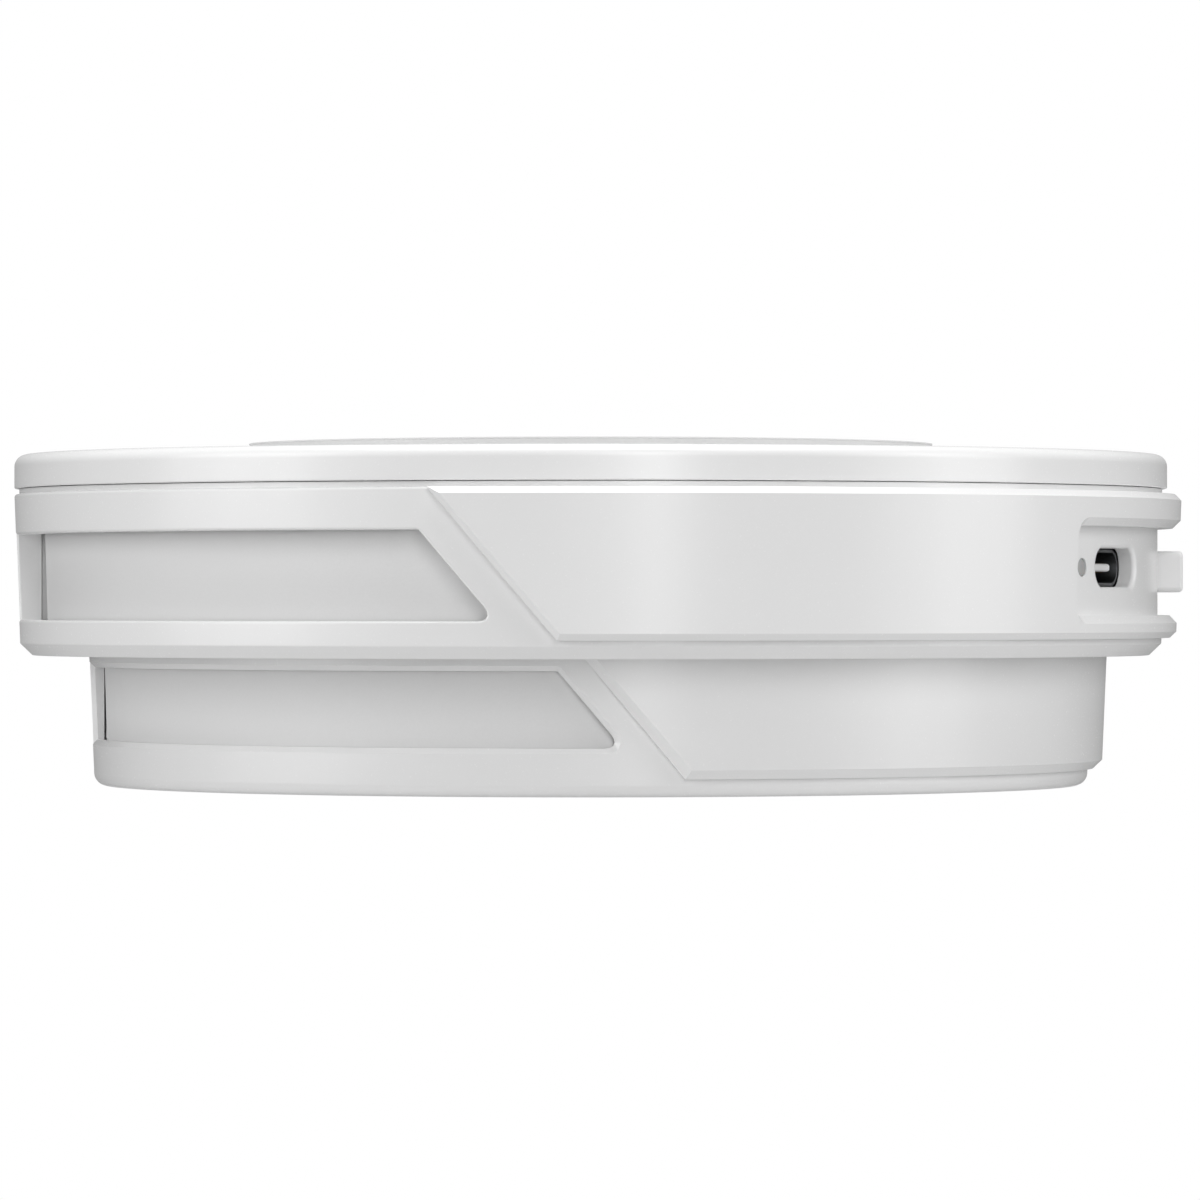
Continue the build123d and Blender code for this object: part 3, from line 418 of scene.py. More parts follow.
class FlatTier:
    def __init__(self, top, topRadius, bottom, bottomRadius, unroll, slant, steps):
        self.top, self.topRadius = top, topRadius
        self.taper = (topRadius - bottomRadius) / (top - bottom)
        self.unroll = unroll                  # radius that turns angle into flat x
        self.slant = tan(radians(slant))
        self.steps = steps

    def wallRadius(self, z):
        return self.topRadius + self.taper * (z - self.top)

    def flatX(self, angle):
        return radians(angle) * self.unroll

    def flatPoint(self, x, radius, z):
        return Vector((x, self.wallRadius(z) - radius, z))

    def leanX(self, end, radius, z):
        angle, height = end
        return self.flatX(angle) - self.slant * self.unroll / radius * (z - height)

    def profile(self, bm, points, closed=True):
        verts = [bm.verts.new(self.flatPoint(self.flatX(-180), radius, z)) for radius, z in points]
        pairs = list(zip(verts, verts[1:]))
        if closed:
            pairs.append((verts[-1], verts[0]))
        edges = [bm.edges.new(pair) for pair in pairs]
        made = bmesh.ops.extrude_edge_only(bm, edges=edges)["geom"]
        moved = [item for item in made if isinstance(item, bmesh.types.BMVert)]
        bmesh.ops.translate(bm, verts=moved, vec=(2 * self.flatX(180), 0, 0))

    def sliceLevel(self, bm, faces, z):
        slicePlane(bm, faces, (0, 0, z), (0, 0, 1))

    def sliceUpright(self, bm, faces, angle):
        slicePlane(bm, faces, (self.flatX(angle), 0, 0), (1, 0, 0))

    def sliceLean(self, bm, faces, end, radius, side):
        # side -1 is the camera's side, +1 its mirror image
        angle, height = end
        point = (-side * self.flatX(angle), 0, height)
        normal = Vector((-side, 0, self.slant * self.unroll / radius)).normalized()
        slicePlane(bm, faces, point, normal)

    def bend(self, bm, sharp=32):
        bmesh.ops.recalc_face_normals(bm, faces=bm.faces)
        for step in range(1, self.steps):
            x = self.flatX(-180 + 360 * step / self.steps)
            bmesh.ops.bisect_plane(bm, geom=bm.verts[:] + bm.edges[:] + bm.faces[:], dist=1e-3,
                                   plane_co=(x, 0, 0), plane_no=(1, 0, 0))
        cornerNormals(bm, sharp)
        layer = bm.loops.layers.float_vector["corner"]
        for face in bm.faces:
            for loop in face.loops:
                flat = loop[layer]
                angle = loop.vert.co.x / self.unroll
                outward = -flat.y
                loop[layer] = Vector((
                    outward * cos(angle) - flat.x * sin(angle),
                    outward * sin(angle) + flat.x * cos(angle),
                    flat.z - outward * self.taper,
                )).normalized()
        for vert in bm.verts:
            angle = vert.co.x / self.unroll
            radius = self.wallRadius(vert.co.z) - vert.co.y
            vert.co = (radius * cos(angle), radius * sin(angle), vert.co.z)
        bmesh.ops.remove_doubles(bm, verts=bm.verts, dist=1e-3)


# Wide tier

wide = {
    "neckRadius": 49.57,
    "neckTop": -3.99,
    "top": -4.43,
    "topRadius": 50.0,
    "chamferTop": -17.30,
    "chamferTopRadius": 49.50,
    "bottom": -18.32,
    "bottomRadius": 48.44,
    "innerRadius": 47.7,
    "mouthRadius": 43.0,
    "shoulder": 0.25,
    "slant": 40.5,
    "bandProud": 1.26,
    "bandBottom": -16.81,
    "bandEnd": (-99.0, -10.62),
    "bandChamfer": 0.54,
    "windowStart": -178.0,
    "windowMiddle": 140.0,
    "windowTop": -7.885,
    "windowBottom": -15.26,
    "windowEnd": (-102.45, -11.57),
    "windowEdge": 0.22,
    "windowEdgeSteps": 4,
    "upperCorner": 0.35,
    "lowerCorner": 0.7,
    "pocketHalf": 37.1,
    "pocketRadius": 49.17,
    "pocketTop": -7.36,
    "pocketBottom": -14.87,
    "pocketChamfer": 0.66,
    "pocketCorner": 0.95,
    "pocketCornerSteps": 6,
    "floorTop": -16.52,
    "ledgeRadius": 46.0,
    "ledgeBottom": -6.9,
    "ledgeTop": -6.3,
    "easedEdge": 0.08,
    # faces this far behind the wall take the painted recess shade: window sides, neck, hole sides
    "recessDeep": 0.3,
    "pocketDeep": 1.0,
    # plan angle, height, width, height across, corner radius, then (growth, depth) of the lip's rings
    "openings": (
        (-25.5, -10.83, 9.04, 3.24, 1.62, ((0.40, 0.0), (0.25, 0.03), (0.12, 0.12), (0.03, 0.25), (0.0, 0.40))),
        (0.0, -11.11, 10.3, 3.85, 0.65, ((0.10, 0.0), (0.03, 0.03), (0.0, 0.10))),
        (-33.6, -10.83, 1.52, 1.52, 0.76, ((0.05, 0.0), (0.0, 0.05))),
    ),
}


def windowTests(tier, outerRadius, innerRadius, low, high):
    # face tests for the two skins, between two heights
    def onSkin(radius):
        return lambda c: low < c.z < high and abs(tier.wallRadius(c.z) - c.y - radius(c.z)) < 0.05
    return onSkin(outerRadius), onSkin(innerRadius)


def openWindow(bm, tier, spec, side, skins):
    # cuts one outline in the outer and the inner skin, then joins the two; side -1 faces the camera
    radius = (spec["topRadius"] + spec["bottomRadius"]) / 2
    start = -tier.flatX(spec["windowStart"])

    def inColumn(c):
        return side * c.x > 0 and abs(c.x) < start and -abs(c.x) < tier.leanX(spec["windowEnd"], radius, c.z)

    def inWindow(c):
        return inColumn(c) and spec["windowBottom"] < c.z < spec["windowTop"]

    rims = []
    for skin in skins:
        tier.sliceUpright(bm, facesWhere(bm, lambda c: side * c.x > 0 and skin(c)), -side * spec["windowStart"])
        tier.sliceLean(bm, facesWhere(bm, lambda c: side * c.x > 0 and abs(c.x) < start and skin(c)),
                       spec["windowEnd"], radius, side)
        for height in (spec["windowTop"], spec["windowBottom"]):
            tier.sliceLevel(bm, facesWhere(bm, lambda c: inColumn(c) and skin(c)), height)
        pane = facesWhere(bm, lambda c: inWindow(c) and skin(c))
        rim = set(edge for face in pane for edge in face.edges)
        bmesh.ops.delete(bm, geom=pane, context="FACES_ONLY")
        rims.append([edge for edge in rim if edge.is_valid and edge.is_boundary])
    walls = bmesh.ops.bridge_loops(bm, edges=rims[0] + rims[1])["faces"]
    through = set(edge for face in walls for edge in face.edges) - set(rims[0]) - set(rims[1])
    for height, corner, angle in ((spec["windowTop"], spec["upperCorner"], 90 + spec["slant"]),
                                  (spec["windowBottom"], spec["lowerCorner"], 90 - spec["slant"])):
        picked = [edge for edge in through if edge.is_valid
                  and all(abs(vert.co.z - height) < 0.01 and abs(vert.co.x) < start - 5 for vert in edge.verts)]
        bevelEdges(bm, picked, corner / tan(radians(angle / 2)), 5)


def openBothWindows(bm, tier, spec, skins):
    # the skins are parted at x = 0 while each side is cut, then joined again
    for skin in skins:
        tier.sliceUpright(bm, facesWhere(bm, skin), 0)
    for side in (-1, 1):
        openWindow(bm, tier, spec, side, skins)
    def flush(edge):
        return any(all(skin(face.calc_center_median()) for face in edge.link_faces) for skin in skins)

    bmesh.ops.dissolve_edges(bm, edges=[edge for edge in edgesWhere(bm, lambda c: abs(c.x) < 0.001) if flush(edge)],
                             use_verts=True)
    # cuts that run on from a window's corners would spoil its rim, so the skin is parted at mid-window instead
    old = [edge for edge in bm.edges if flush(edge)]
    for side in (-1, 1):
        tier.sliceUpright(bm, facesWhere(bm, lambda c: side * c.x > 0 and skins[0](c)), side * spec["windowMiddle"])
    fresh = [edge for edge in bm.edges if all(abs(abs(v.co.x) - tier.flatX(spec["windowMiddle"])) < 0.001
                                              for v in edge.verts)]
    skip = set(fresh)
    bmesh.ops.dissolve_edges(bm, edges=[edge for edge in old if edge.is_valid and edge not in skip
                                        and all(skins[0](face.calc_center_median()) for face in edge.link_faces)],
                             use_verts=True)
    for side in (-1, 1):
        bevelEdges(bm, windowRim(bm, tier, spec, side, skins[0]), spec["windowEdge"], spec["windowEdgeSteps"])


def windowRim(bm, tier, spec, side, skin):
    radius = (spec["topRadius"] + spec["bottomRadius"]) / 2
    start = -tier.flatX(spec["windowStart"])
    slack = 0.01

    def onRim(edge):
        inside = all(
            side * v.co.x > 0 and abs(v.co.x) < start + slack
            and spec["windowBottom"] - slack < v.co.z < spec["windowTop"] + slack
            and -abs(v.co.x) < tier.leanX(spec["windowEnd"], radius, v.co.z) + slack and skin(v.co)
            for v in edge.verts)
        return inside and sum(1 for face in edge.link_faces if skin(face.calc_center_median())) == 1
    return [edge for edge in bm.edges if onRim(edge)]


def raiseBand(bm, tier, spec, wall):
    radius = spec["topRadius"] + spec["bandProud"] / 2
    for side in (-1, 1):
        tier.sliceLean(bm, facesWhere(bm, lambda c: wall(c) and side * c.x > -1), spec["bandEnd"], radius, side)

    def pastLean(c):
        return -abs(c.x) > tier.leanX(spec["bandEnd"], radius, c.z)

    tier.sliceLevel(bm, facesWhere(bm, lambda c: wall(c) and pastLean(c)), spec["bandBottom"])
    region = facesWhere(bm, lambda c: wall(c) and pastLean(c) and c.z > spec["bandBottom"])
    return pushFaces(bm, region, (0, -spec["bandProud"], 0))


def outlineEdges(faces):
    inside = set(faces)
    return [edge for edge in set(edge for face in faces for edge in face.edges)
            if sum(1 for face in edge.link_faces if face in inside) == 1]


def fillWithHoles(bm, face, loops):
    edges = list(face.edges)
    bmesh.ops.delete(bm, geom=[face], context="FACES_ONLY")
    for loop in loops:
        edges += loop
    bmesh.ops.triangle_fill(bm, use_beauty=True, edges=edges)


def buildWideTier():
    spec = wide
    tier = FlatTier(spec["top"], spec["topRadius"], spec["chamferTop"], spec["chamferTopRadius"],
                    spec["topRadius"], spec["slant"], 240)
    bm = bmesh.new()
    tier.profile(bm, [
        (spec["neckRadius"], spec["neckTop"]),
        (spec["neckRadius"], spec["top"]),
        (spec["topRadius"], spec["top"]),
        (spec["chamferTopRadius"], spec["chamferTop"]),
        (spec["bottomRadius"], spec["bottom"]),
        (spec["mouthRadius"], spec["bottom"]),
        (spec["mouthRadius"], spec["floorTop"]),
        (spec["innerRadius"], spec["floorTop"]),
        (spec["innerRadius"], spec["ledgeBottom"]),
        (spec["ledgeRadius"], spec["ledgeBottom"]),
        (spec["ledgeRadius"], spec["ledgeTop"]),
        (spec["innerRadius"], spec["ledgeTop"]),
        (spec["innerRadius"], spec["neckTop"]),
    ])
    skins = windowTests(tier, tier.wallRadius, lambda z: spec["innerRadius"], spec["floorTop"], spec["ledgeBottom"])
    wall, inner = skins

    def outerWall(c):
        return abs(c.y) < 0.01 and spec["chamferTop"] < c.z < spec["top"]

    band = raiseBand(bm, tier, spec, outerWall)
    openBothWindows(bm, tier, spec, (outerWall, inner))
    bevelEdges(bm, outlineEdges(band), spec["bandChamfer"], 1)

    # pocket in the band, its floor upright
    def bandFace(c):
        return abs(c.y + spec["bandProud"]) < 0.01

    def inPocket(c):
        return (bandFace(c) and abs(c.x) < tier.flatX(spec["pocketHalf"])
                and spec["pocketBottom"] < c.z < spec["pocketTop"])

    for angle in (-spec["pocketHalf"], spec["pocketHalf"]):
        tier.sliceUpright(bm, facesWhere(bm, bandFace), angle)
    for height in (spec["pocketTop"], spec["pocketBottom"]):
        column = facesWhere(bm, lambda c: bandFace(c) and abs(c.x) < tier.flatX(spec["pocketHalf"]))
        tier.sliceLevel(bm, column, height)
    mouth = facesWhere(bm, inPocket)
    floor = pushFaces(bm, mouth, (0, spec["bandProud"], 0))
    for vert in floor[0].verts:
        vert.co.y = tier.wallRadius(vert.co.z) - spec["pocketRadius"]
    edgesIn = [edge for vert in floor[0].verts for edge in vert.link_edges if edge not in set(floor[0].edges)]
    bevelEdges(bm, edgesIn, spec["pocketCorner"], spec["pocketCornerSteps"])
    half = tier.flatX(spec["pocketHalf"]) + 0.01
    rim = [edge for edge in edgesWhere(bm, lambda c: bandFace(c) and abs(c.x) < half
                                       and spec["pocketBottom"] - 0.01 < c.z < spec["pocketTop"] + 0.01)
           if len(edge.link_faces) == 2 and not all(bandFace(f.calc_center_median()) for f in edge.link_faces)]
    bevelEdges(bm, rim, spec["pocketChamfer"], 1)

    # port, side button and light openings run from the pocket's floor to the inner skin
    stretch = tier.unroll / spec["pocketRadius"]
    openings = []
    for angle, height, width, tall, corner, lip in spec["openings"]:
        rings = []
        for grow, depth in lip + ((0, spec["pocketRadius"] - spec["innerRadius"]),):
            verts, edges = roundedLoop(bm, (width + 2 * grow) * stretch, tall + 2 * grow, corner + grow)
            bmesh.ops.translate(bm, verts=verts, vec=(tier.flatX(angle), 0, height))
            for vert in verts:
                vert.co.y = tier.wallRadius(vert.co.z) - spec["pocketRadius"] + depth
            rings.append(edges)
        openings.append(rings)
    floorFace = max(facesWhere(bm, lambda c: abs(tier.wallRadius(c.z) - c.y - spec["pocketRadius"]) < 0.02
                               and abs(c.x) < half), key=lambda face: face.calc_area())
    innerFace = min(facesWhere(bm, lambda c: inner(c)), key=lambda face: abs(face.calc_center_median().x))
    fillWithHoles(bm, floorFace, [rings[0] for rings in openings])
    fillWithHoles(bm, innerFace, [rings[-1] for rings in openings])
    for rings in openings:
        for first, second in zip(rings, rings[1:]):
            bmesh.ops.bridge_loops(bm, edges=first + second)

    # eased shoulder and lower edges
    shoulder = edgesWhere(bm, lambda c: abs(c.z - spec["top"]) < 0.001 and abs(c.y) < 0.001)
    shoulder = [edge for edge in shoulder if abs(edge.verts[0].co.x - edge.verts[1].co.x) > 1
                and edge.calc_face_angle(0) > 1]
    bevelEdges(bm, shoulder, spec["shoulder"], 4)
    for radius, height in ((spec["chamferTopRadius"], spec["chamferTop"]), (spec["bottomRadius"], spec["bottom"])):
        y = tier.wallRadius(height) - radius
        bevelEdges(bm, edgesWhere(bm, lambda c: abs(c.z - height) < 0.001 and abs(c.y - y) < 0.001),
                   spec["easedEdge"], 2)
    for face in bm.faces:
        c = face.calc_center_median()
        deep = spec["pocketDeep"] if abs(c.x) < half else spec["recessDeep"]
        # material 1 is the darker painted shade for recesses
        face.material_index = 1 if c.y > deep else 0
    tier.bend(bm)
    return finishPiece("wideTierShell", bm, "detector", ["upper_housing"], [whiteAbs, recessShadeAbs])


buildWideTier()



# Narrow tier: the same wall, with a cup floor that holds the button ring and the openings

narrow = {
    "spigotRadius": 42.9,
    "spigotTop": -16.2,
    "top": -18.32,
    "topRadius": 43.55,
    "bottom": -29.57,
    "bottomRadius": 43.07,
    "edgeRadius": 1.03,
    "innerRadius": 41.4,
    "seatRadius": 42.27,
    "seatTop": -18.62,
    "seatBottom": -26.3,
    "floorTop": -27.77,
    "floorRim": 40.0,
    "slant": 40.5,
    "bandProud": 1.24,
    "bandBottom": -28.09,
    "bandEnd": (-85.2, -23.2),
    "bandChamfer": 0.74,
    "windowStart": -178.0,
    "windowMiddle": 140.0,
    "windowTop": -19.32,
    "windowBottom": -25.60,
    "windowEnd": (-89.95, -22.46),
    "windowEdge": 0.43,
    "windowEdgeSteps": 1,
    "recessDeep": 0.5,
    "upperCorner": 0.35,
    "lowerCorner": 0.7,
    "ringHoleRadius": 12.3,
    "slotCount": 24,
    "slotWidth": 1.5,
    "slotInner": 17.0,
    "slotOuter": 30.0,
    "slotLip": 0.18,
    # plan angle, distance, radius, top, hole radius
    "posts": (
        (0, 37.8, 3.2, -6.3, 1.25), (120, 37.8, 3.2, -6.3, 1.25), (240, 37.8, 3.2, -6.3, 1.25),
        (85, 34.0, 2.6, -13.61, 0.9), (-85, 34.0, 2.6, -13.61, 0.9), (180, 37.0, 2.6, -13.61, 0.9),
    ),
}


def flatLoop(bm, width, length, corner, z, steps, place):
    # level loop with rounded corners, placed by a matrix
    verts, edges = roundedLoop(bm, width, length, corner, steps)
    bmesh.ops.rotate(bm, verts=verts, cent=(0, 0, 0), matrix=Matrix.Rotation(-pi / 2, 3, "X"))
    bmesh.ops.translate(bm, verts=verts, vec=(0, 0, z))
    bmesh.ops.transform(bm, matrix=place, verts=verts)
    return edges


def bridgeRings(bm, rings):
    for first, second in zip(rings, rings[1:]):
        bmesh.ops.bridge_loops(bm, edges=first + second)


def buildNarrowTier():
    spec = narrow
    tier = FlatTier(spec["top"], spec["topRadius"], spec["bottom"], spec["bottomRadius"],
                    43.3, spec["slant"], 240)
    bm = bmesh.new()
    tier.profile(bm, [
        (spec["floorRim"], spec["bottom"]),
        (spec["bottomRadius"], spec["bottom"]),
        (spec["topRadius"], spec["top"]),
        (spec["spigotRadius"], spec["top"]),
        (spec["spigotRadius"], spec["spigotTop"]),
        (spec["innerRadius"], spec["spigotTop"]),
        (spec["innerRadius"], spec["seatTop"]),
        (spec["seatRadius"], spec["seatTop"]),
        (spec["seatRadius"], spec["seatBottom"]),
        (spec["innerRadius"], spec["seatBottom"]),
        (spec["innerRadius"], spec["floorTop"]),
        (spec["floorRim"], spec["floorTop"]),
    ], closed=False)
    bevelEdges(bm, edgesWhere(bm, lambda c: abs(c.z - spec["bottom"]) < 0.001 and abs(c.y) < 0.001),
               spec["edgeRadius"], 8)

    def outerWall(c):
        return abs(c.y) < 0.01 and spec["bottom"] + spec["edgeRadius"] < c.z < spec["top"]

    def seat(c):
        return (abs(tier.wallRadius(c.z) - c.y - spec["seatRadius"]) < 0.05
                and spec["seatBottom"] < c.z < spec["seatTop"])

    band = raiseBand(bm, tier, spec, outerWall)
    openBothWindows(bm, tier, spec, (outerWall, seat))
    rim = [edge for edge in outlineEdges(band) if min(v.co.z for v in edge.verts) < spec["top"] - 0.01]
    bevelEdges(bm, rim, spec["bandChamfer"], 1)
    for face in bm.faces:
        # faces behind the window rims take the darker painted shade of recesses
        face.material_index = 1 if face.calc_center_median().y > spec["recessDeep"] else 0
    tier.bend(bm)

    # floor: outer and inner faces with the ring's hole and the radial slots between them
    levels = (spec["bottom"], spec["floorTop"])
    fills = []
    for z in levels:
        fills.append([edge for edge in bm.edges if edge.is_boundary and abs(edge.verts[0].co.z - z) < 0.01])
    middle = (spec["slotInner"] + spec["slotOuter"]) / 2
    length = spec["slotOuter"] - spec["slotInner"]
    lip, width = spec["slotLip"], spec["slotWidth"]
    for index in range(spec["slotCount"]):
        place = Matrix.Rotation(2 * pi * (index + 0.5) / spec["slotCount"], 4, "Z") @ Matrix.Translation((middle, 0, 0))
        rings = []
        for grow, z in ((lip, levels[0]), (lip * 0.35, levels[0] + lip * 0.35), (0, levels[0] + lip), (0, levels[1])):
            rings.append(flatLoop(bm, length + 2 * grow, width + 2 * grow, width / 2 + grow, z, 20, place))
        bridgeRings(bm, rings)
        fills[0] += rings[0]
        fills[1] += rings[-1]
    hole = [flatLoop(bm, 2 * r, 2 * r, r, z, 160, Matrix())
            for r, z in ((spec["ringHoleRadius"] + 0.15, levels[0]), (spec["ringHoleRadius"], levels[0] + 0.15),
                         (spec["ringHoleRadius"], levels[1]))]
    bridgeRings(bm, hole)
    fills[0] += hole[0]
    fills[1] += hole[-1]
    posts = []
    for angle, distance, radius, top, holeRadius in spec["posts"]:
        place = Matrix.Rotation(radians(angle), 4, "Z") @ Matrix.Translation((distance, 0, 0))
        rings = [flatLoop(bm, 2 * r, 2 * r, r, z, 40, place)
                 for r, z in ((radius + 0.5, levels[1]), (radius, levels[1] + 0.8), (radius, top - 0.2),
                              (radius - 0.2, top), (holeRadius + 0.3, top), (holeRadius, top - 0.3),
                              (holeRadius, max(top - 8.7, levels[1] + 0.3)))]
        bridgeRings(bm, rings)
        bmesh.ops.edgeloop_fill(bm, edges=rings[-1])
        if radius + 0.5 + distance < spec["floorRim"]:
            fills[1] += rings[0]
        else:
            posts.append(rings[0])
    for edges in fills:
        bmesh.ops.triangle_fill(bm, use_beauty=True, edges=edges)
    for edges in posts:
        bmesh.ops.edgeloop_fill(bm, edges=edges)
    return bm


narrowMesh = buildNarrowTier()
bmesh.ops.recalc_face_normals(narrowMesh, faces=narrowMesh.faces)
finishPiece("narrowTierShell", narrowMesh, "detector", ["front_cover"], [whiteAbs, recessShadeAbs])


# Turned and ringed pieces


def latheChain(bm, points, steps=160, sweep=360, start=0, closed=False):
    verts = [bm.verts.new((radius, 0, z)) for radius, z in points]
    edges = [bm.edges.new(pair) for pair in zip(verts, verts[1:])]
    if closed:
        edges.append(bm.edges.new((verts[-1], verts[0])))
    bmesh.ops.rotate(bm, verts=verts, cent=(0, 0, 0), matrix=Matrix.Rotation(radians(start), 3, "Z"))
    whole = sweep == 360
    made = bmesh.ops.spin(bm, geom=verts + edges, cent=(0, 0, 0), axis=(0, 0, 1), dvec=(0, 0, 0),
                          angle=radians(sweep), steps=steps, use_merge=whole, use_duplicate=False)
    if closed and not whole:
        for end in (edges, [item for item in made["geom_last"] if isinstance(item, bmesh.types.BMEdge)]):
            bmesh.ops.edgeloop_fill(bm, edges=end)


def rimAt(bm, radius, z):
    return [edge for edge in bm.edges if edge.is_boundary
            and all(abs(v.co.z - z) < 0.005 and abs(v.co.xy.length - radius) < 0.02 for v in edge.verts)]


def easeCircle(bm, radius, z, size, segments=3):
    loop = edgesWhere(bm, lambda c: abs(c.z - z) < 0.005 and abs(c.xy.length - radius) < 0.005)
    bevelEdges(bm, loop, size, segments)


def axisRings(bm, rings, place, steps=40, capStart=True, capEnd=True):
    # rings of (width, height, corner, reach) across the x axis, joined into one skin
    loops = []
    for width, height, corner, reach in rings:
        verts, edges = roundedLoop(bm, width, height, corner, steps)
        bmesh.ops.rotate(bm, verts=verts, cent=(0, 0, 0), matrix=Matrix.Rotation(pi / 2, 3, "Z"))
        bmesh.ops.translate(bm, verts=verts, vec=(reach, 0, 0))
        bmesh.ops.transform(bm, matrix=place, verts=verts)
        loops.append(edges)
    bridgeRings(bm, loops)
    if capStart:
        bmesh.ops.edgeloop_fill(bm, edges=loops[0])
    if capEnd:
        bmesh.ops.edgeloop_fill(bm, edges=loops[-1])
    return loops


plate = {
    "radius": 50.0,
    "top": -1.0,
    "bottom": -3.93,
    "skirtInner": 47.6,
    "floorUnder": -3.0,
    "rimRadius": 1.03,
    "screwHoles": 38.0,
    "holeRadius": 2.25,
    "sinkRadius": 3.5,
    "hooks": (60, 180, 300),
}


def buildCeilingPlate():
    bm = bmesh.new()
    latheChain(bm, [(plate["radius"] - 2.0, plate["top"]), (plate["radius"], plate["top"]),
                    (plate["radius"], plate["bottom"]), (plate["skirtInner"], plate["bottom"]),
                    (plate["skirtInner"], plate["floorUnder"]), (plate["skirtInner"] - 1, plate["floorUnder"])],
               steps=240)
    easeCircle(bm, plate["radius"], plate["top"], plate["rimRadius"], 9)
    easeCircle(bm, plate["radius"], plate["bottom"], 0.12, 3)
    upper = rimAt(bm, plate["radius"] - 2.0, plate["top"])
    under = rimAt(bm, plate["skirtInner"] - 1, plate["floorUnder"])
    hole, sink = plate["holeRadius"], plate["sinkRadius"]
    for side in (-1, 1):
        place = Matrix.Translation((0, side * plate["screwHoles"], 0))
        rings = [flatLoop(bm, 2 * r, 2 * r, r, z, 48, place)
                 for r, z in ((hole + 0.15, plate["top"]), (hole, plate["top"] - 0.15),
                              (hole, plate["floorUnder"] + sink - hole), (sink, plate["floorUnder"]))]
        bridgeRings(bm, rings)
        upper += rings[0]
        under += rings[-1]
    for edges in (upper, under):
        bmesh.ops.triangle_fill(bm, use_beauty=True, edges=edges)
    for angle in plate["hooks"]:
        latheChain(bm, [(38.7, plate["floorUnder"] + 0.4), (40.3, plate["floorUnder"] + 0.4), (40.3, -6.5),
                        (42.0, -6.5), (42.0, -7.6), (38.7, -7.6)], steps=6, sweep=8, start=angle - 4, closed=True)
    return finishPiece("ceilingPlate", bm, "bracket", ["mounting_plate"], [whiteAbs])


buildCeilingPlate()

# Foam tape: a soft core between two skins that stand a hair prouder
padLow, padHigh = spanMm("adhesive_pad")
tape = {"radius": padHigh.x, "skin": 0.1, "inset": 0.14}
bm = bmesh.new()
latheChain(bm, [(tape["radius"] - 2, padHigh.z), (tape["radius"], padHigh.z),
                (tape["radius"], padHigh.z - tape["skin"]),
                (tape["radius"] - tape["inset"], padHigh.z - tape["skin"] - 0.03),
                (tape["radius"] - tape["inset"], padLow.z + tape["skin"] + 0.03),
                (tape["radius"], padLow.z + tape["skin"]),
                (tape["radius"], padLow.z), (tape["radius"] - 2, padLow.z)], steps=200)
for z in (padHigh.z, padLow.z):
    bmesh.ops.edgeloop_fill(bm, edges=rimAt(bm, tape["radius"] - 2, z))
foamPad = finishPiece("foamTapeDisc", bm, "bracket", ["adhesive_pad"], [greyFoam])


# Side button, its face eased all round and a touch crowned
tab = {"width": 10.0, "height": 3.55, "corner": 0.5, "z": -11.11, "face": 51.2, "back": 45.8,
       "flange": (12.4, 5.2), "flangeTop": 46.6}
bm = bmesh.new()
rings = [(tab["flange"][0], tab["flange"][1], 0.5, tab["back"]),
         (tab["flange"][0], tab["flange"][1], 0.5, tab["flangeTop"]),
         (tab["width"], tab["height"], tab["corner"], tab["flangeTop"]),
         (tab["width"], tab["height"], tab["corner"], tab["face"] - 0.42)]
for step in (1, 2, 3, 4):
    turn = radians(22.5 * step)
    shrink = 0.36 * (1 - cos(turn))
    rings.append((tab["width"] - 2 * shrink, tab["height"] - 2 * shrink, tab["corner"] - shrink,
                  tab["face"] - 0.42 + 0.36 * sin(turn)))
rings.append((tab["width"] - 2.4, tab["height"] - 1.6, 0.2, tab["face"]))
axisRings(bm, rings, Matrix.Translation((0, 0, tab["z"])))
finishPiece("sideButtonTab", bm, "side_button", ["side_button"], [buttonAbs])


# Charging port: folded steel shell, moulded tongue with its contact strips
port = {"angle": -25.5, "z": -10.83, "shell": (8.94, 3.16), "wall": 0.3, "face": 47.42, "length": 7.3,
        "tongue": (6.69, 0.7), "recess": 0.12, "contacts": 12, "contactPitch": 0.5}
portFrame = Matrix.Rotation(radians(port["angle"]), 4, "Z") @ Matrix.Translation((0, 0, port["z"]))
width, height = port["shell"]
wall, face = port["wall"], port["face"]
back = face - port["length"]
rings = []
for grow, reach in ((0, back), (0, face - 0.08), (-0.03, face - 0.02), (-0.08, face), (-0.22, face),
                    (-0.28, face - 0.03), (-0.3, face - 0.1), (-0.3, back + wall)):
    rings.append((width + 2 * grow, height + 2 * grow, height / 2 + grow, reach))
bm = bmesh.new()
axisRings(bm, rings, portFrame, steps=64)
finishPiece("portShell", bm, "detector", ["usb_c_shell"], [portSteel])

bm = bmesh.new()
width, height = port["tongue"]
tip = port["face"] - port["recess"]
root = back + wall + 0.05
rings = []
for shrink, level in ((0.24, -0.5), (0.1, -0.42), (0.02, -0.25), (0.02, 0.25), (0.1, 0.42), (0.24, 0.5)):
    place = portFrame @ Matrix.Translation(((root + tip) / 2, 0, 0))
    rings.append(flatLoop(bm, tip - root - 2 * shrink, width - 2 * shrink, 0.75, level * height, 32, place))
bridgeRings(bm, rings)
for loop in (rings[0], rings[-1]):
    bmesh.ops.edgeloop_fill(bm, edges=loop)
base = [size - 2 * wall - 0.06 for size in port["shell"]]
axisRings(bm, [(base[0], base[1], base[1] / 2, root), (base[0], base[1], base[1] / 2, root + 2.0),
               (base[0] - 0.2, base[1] - 0.2, base[1] / 2 - 0.1, root + 2.1)], portFrame)
finishPiece("portTongue", bm, "detector", ["usb_c_tongue"], [tonguePlastic])

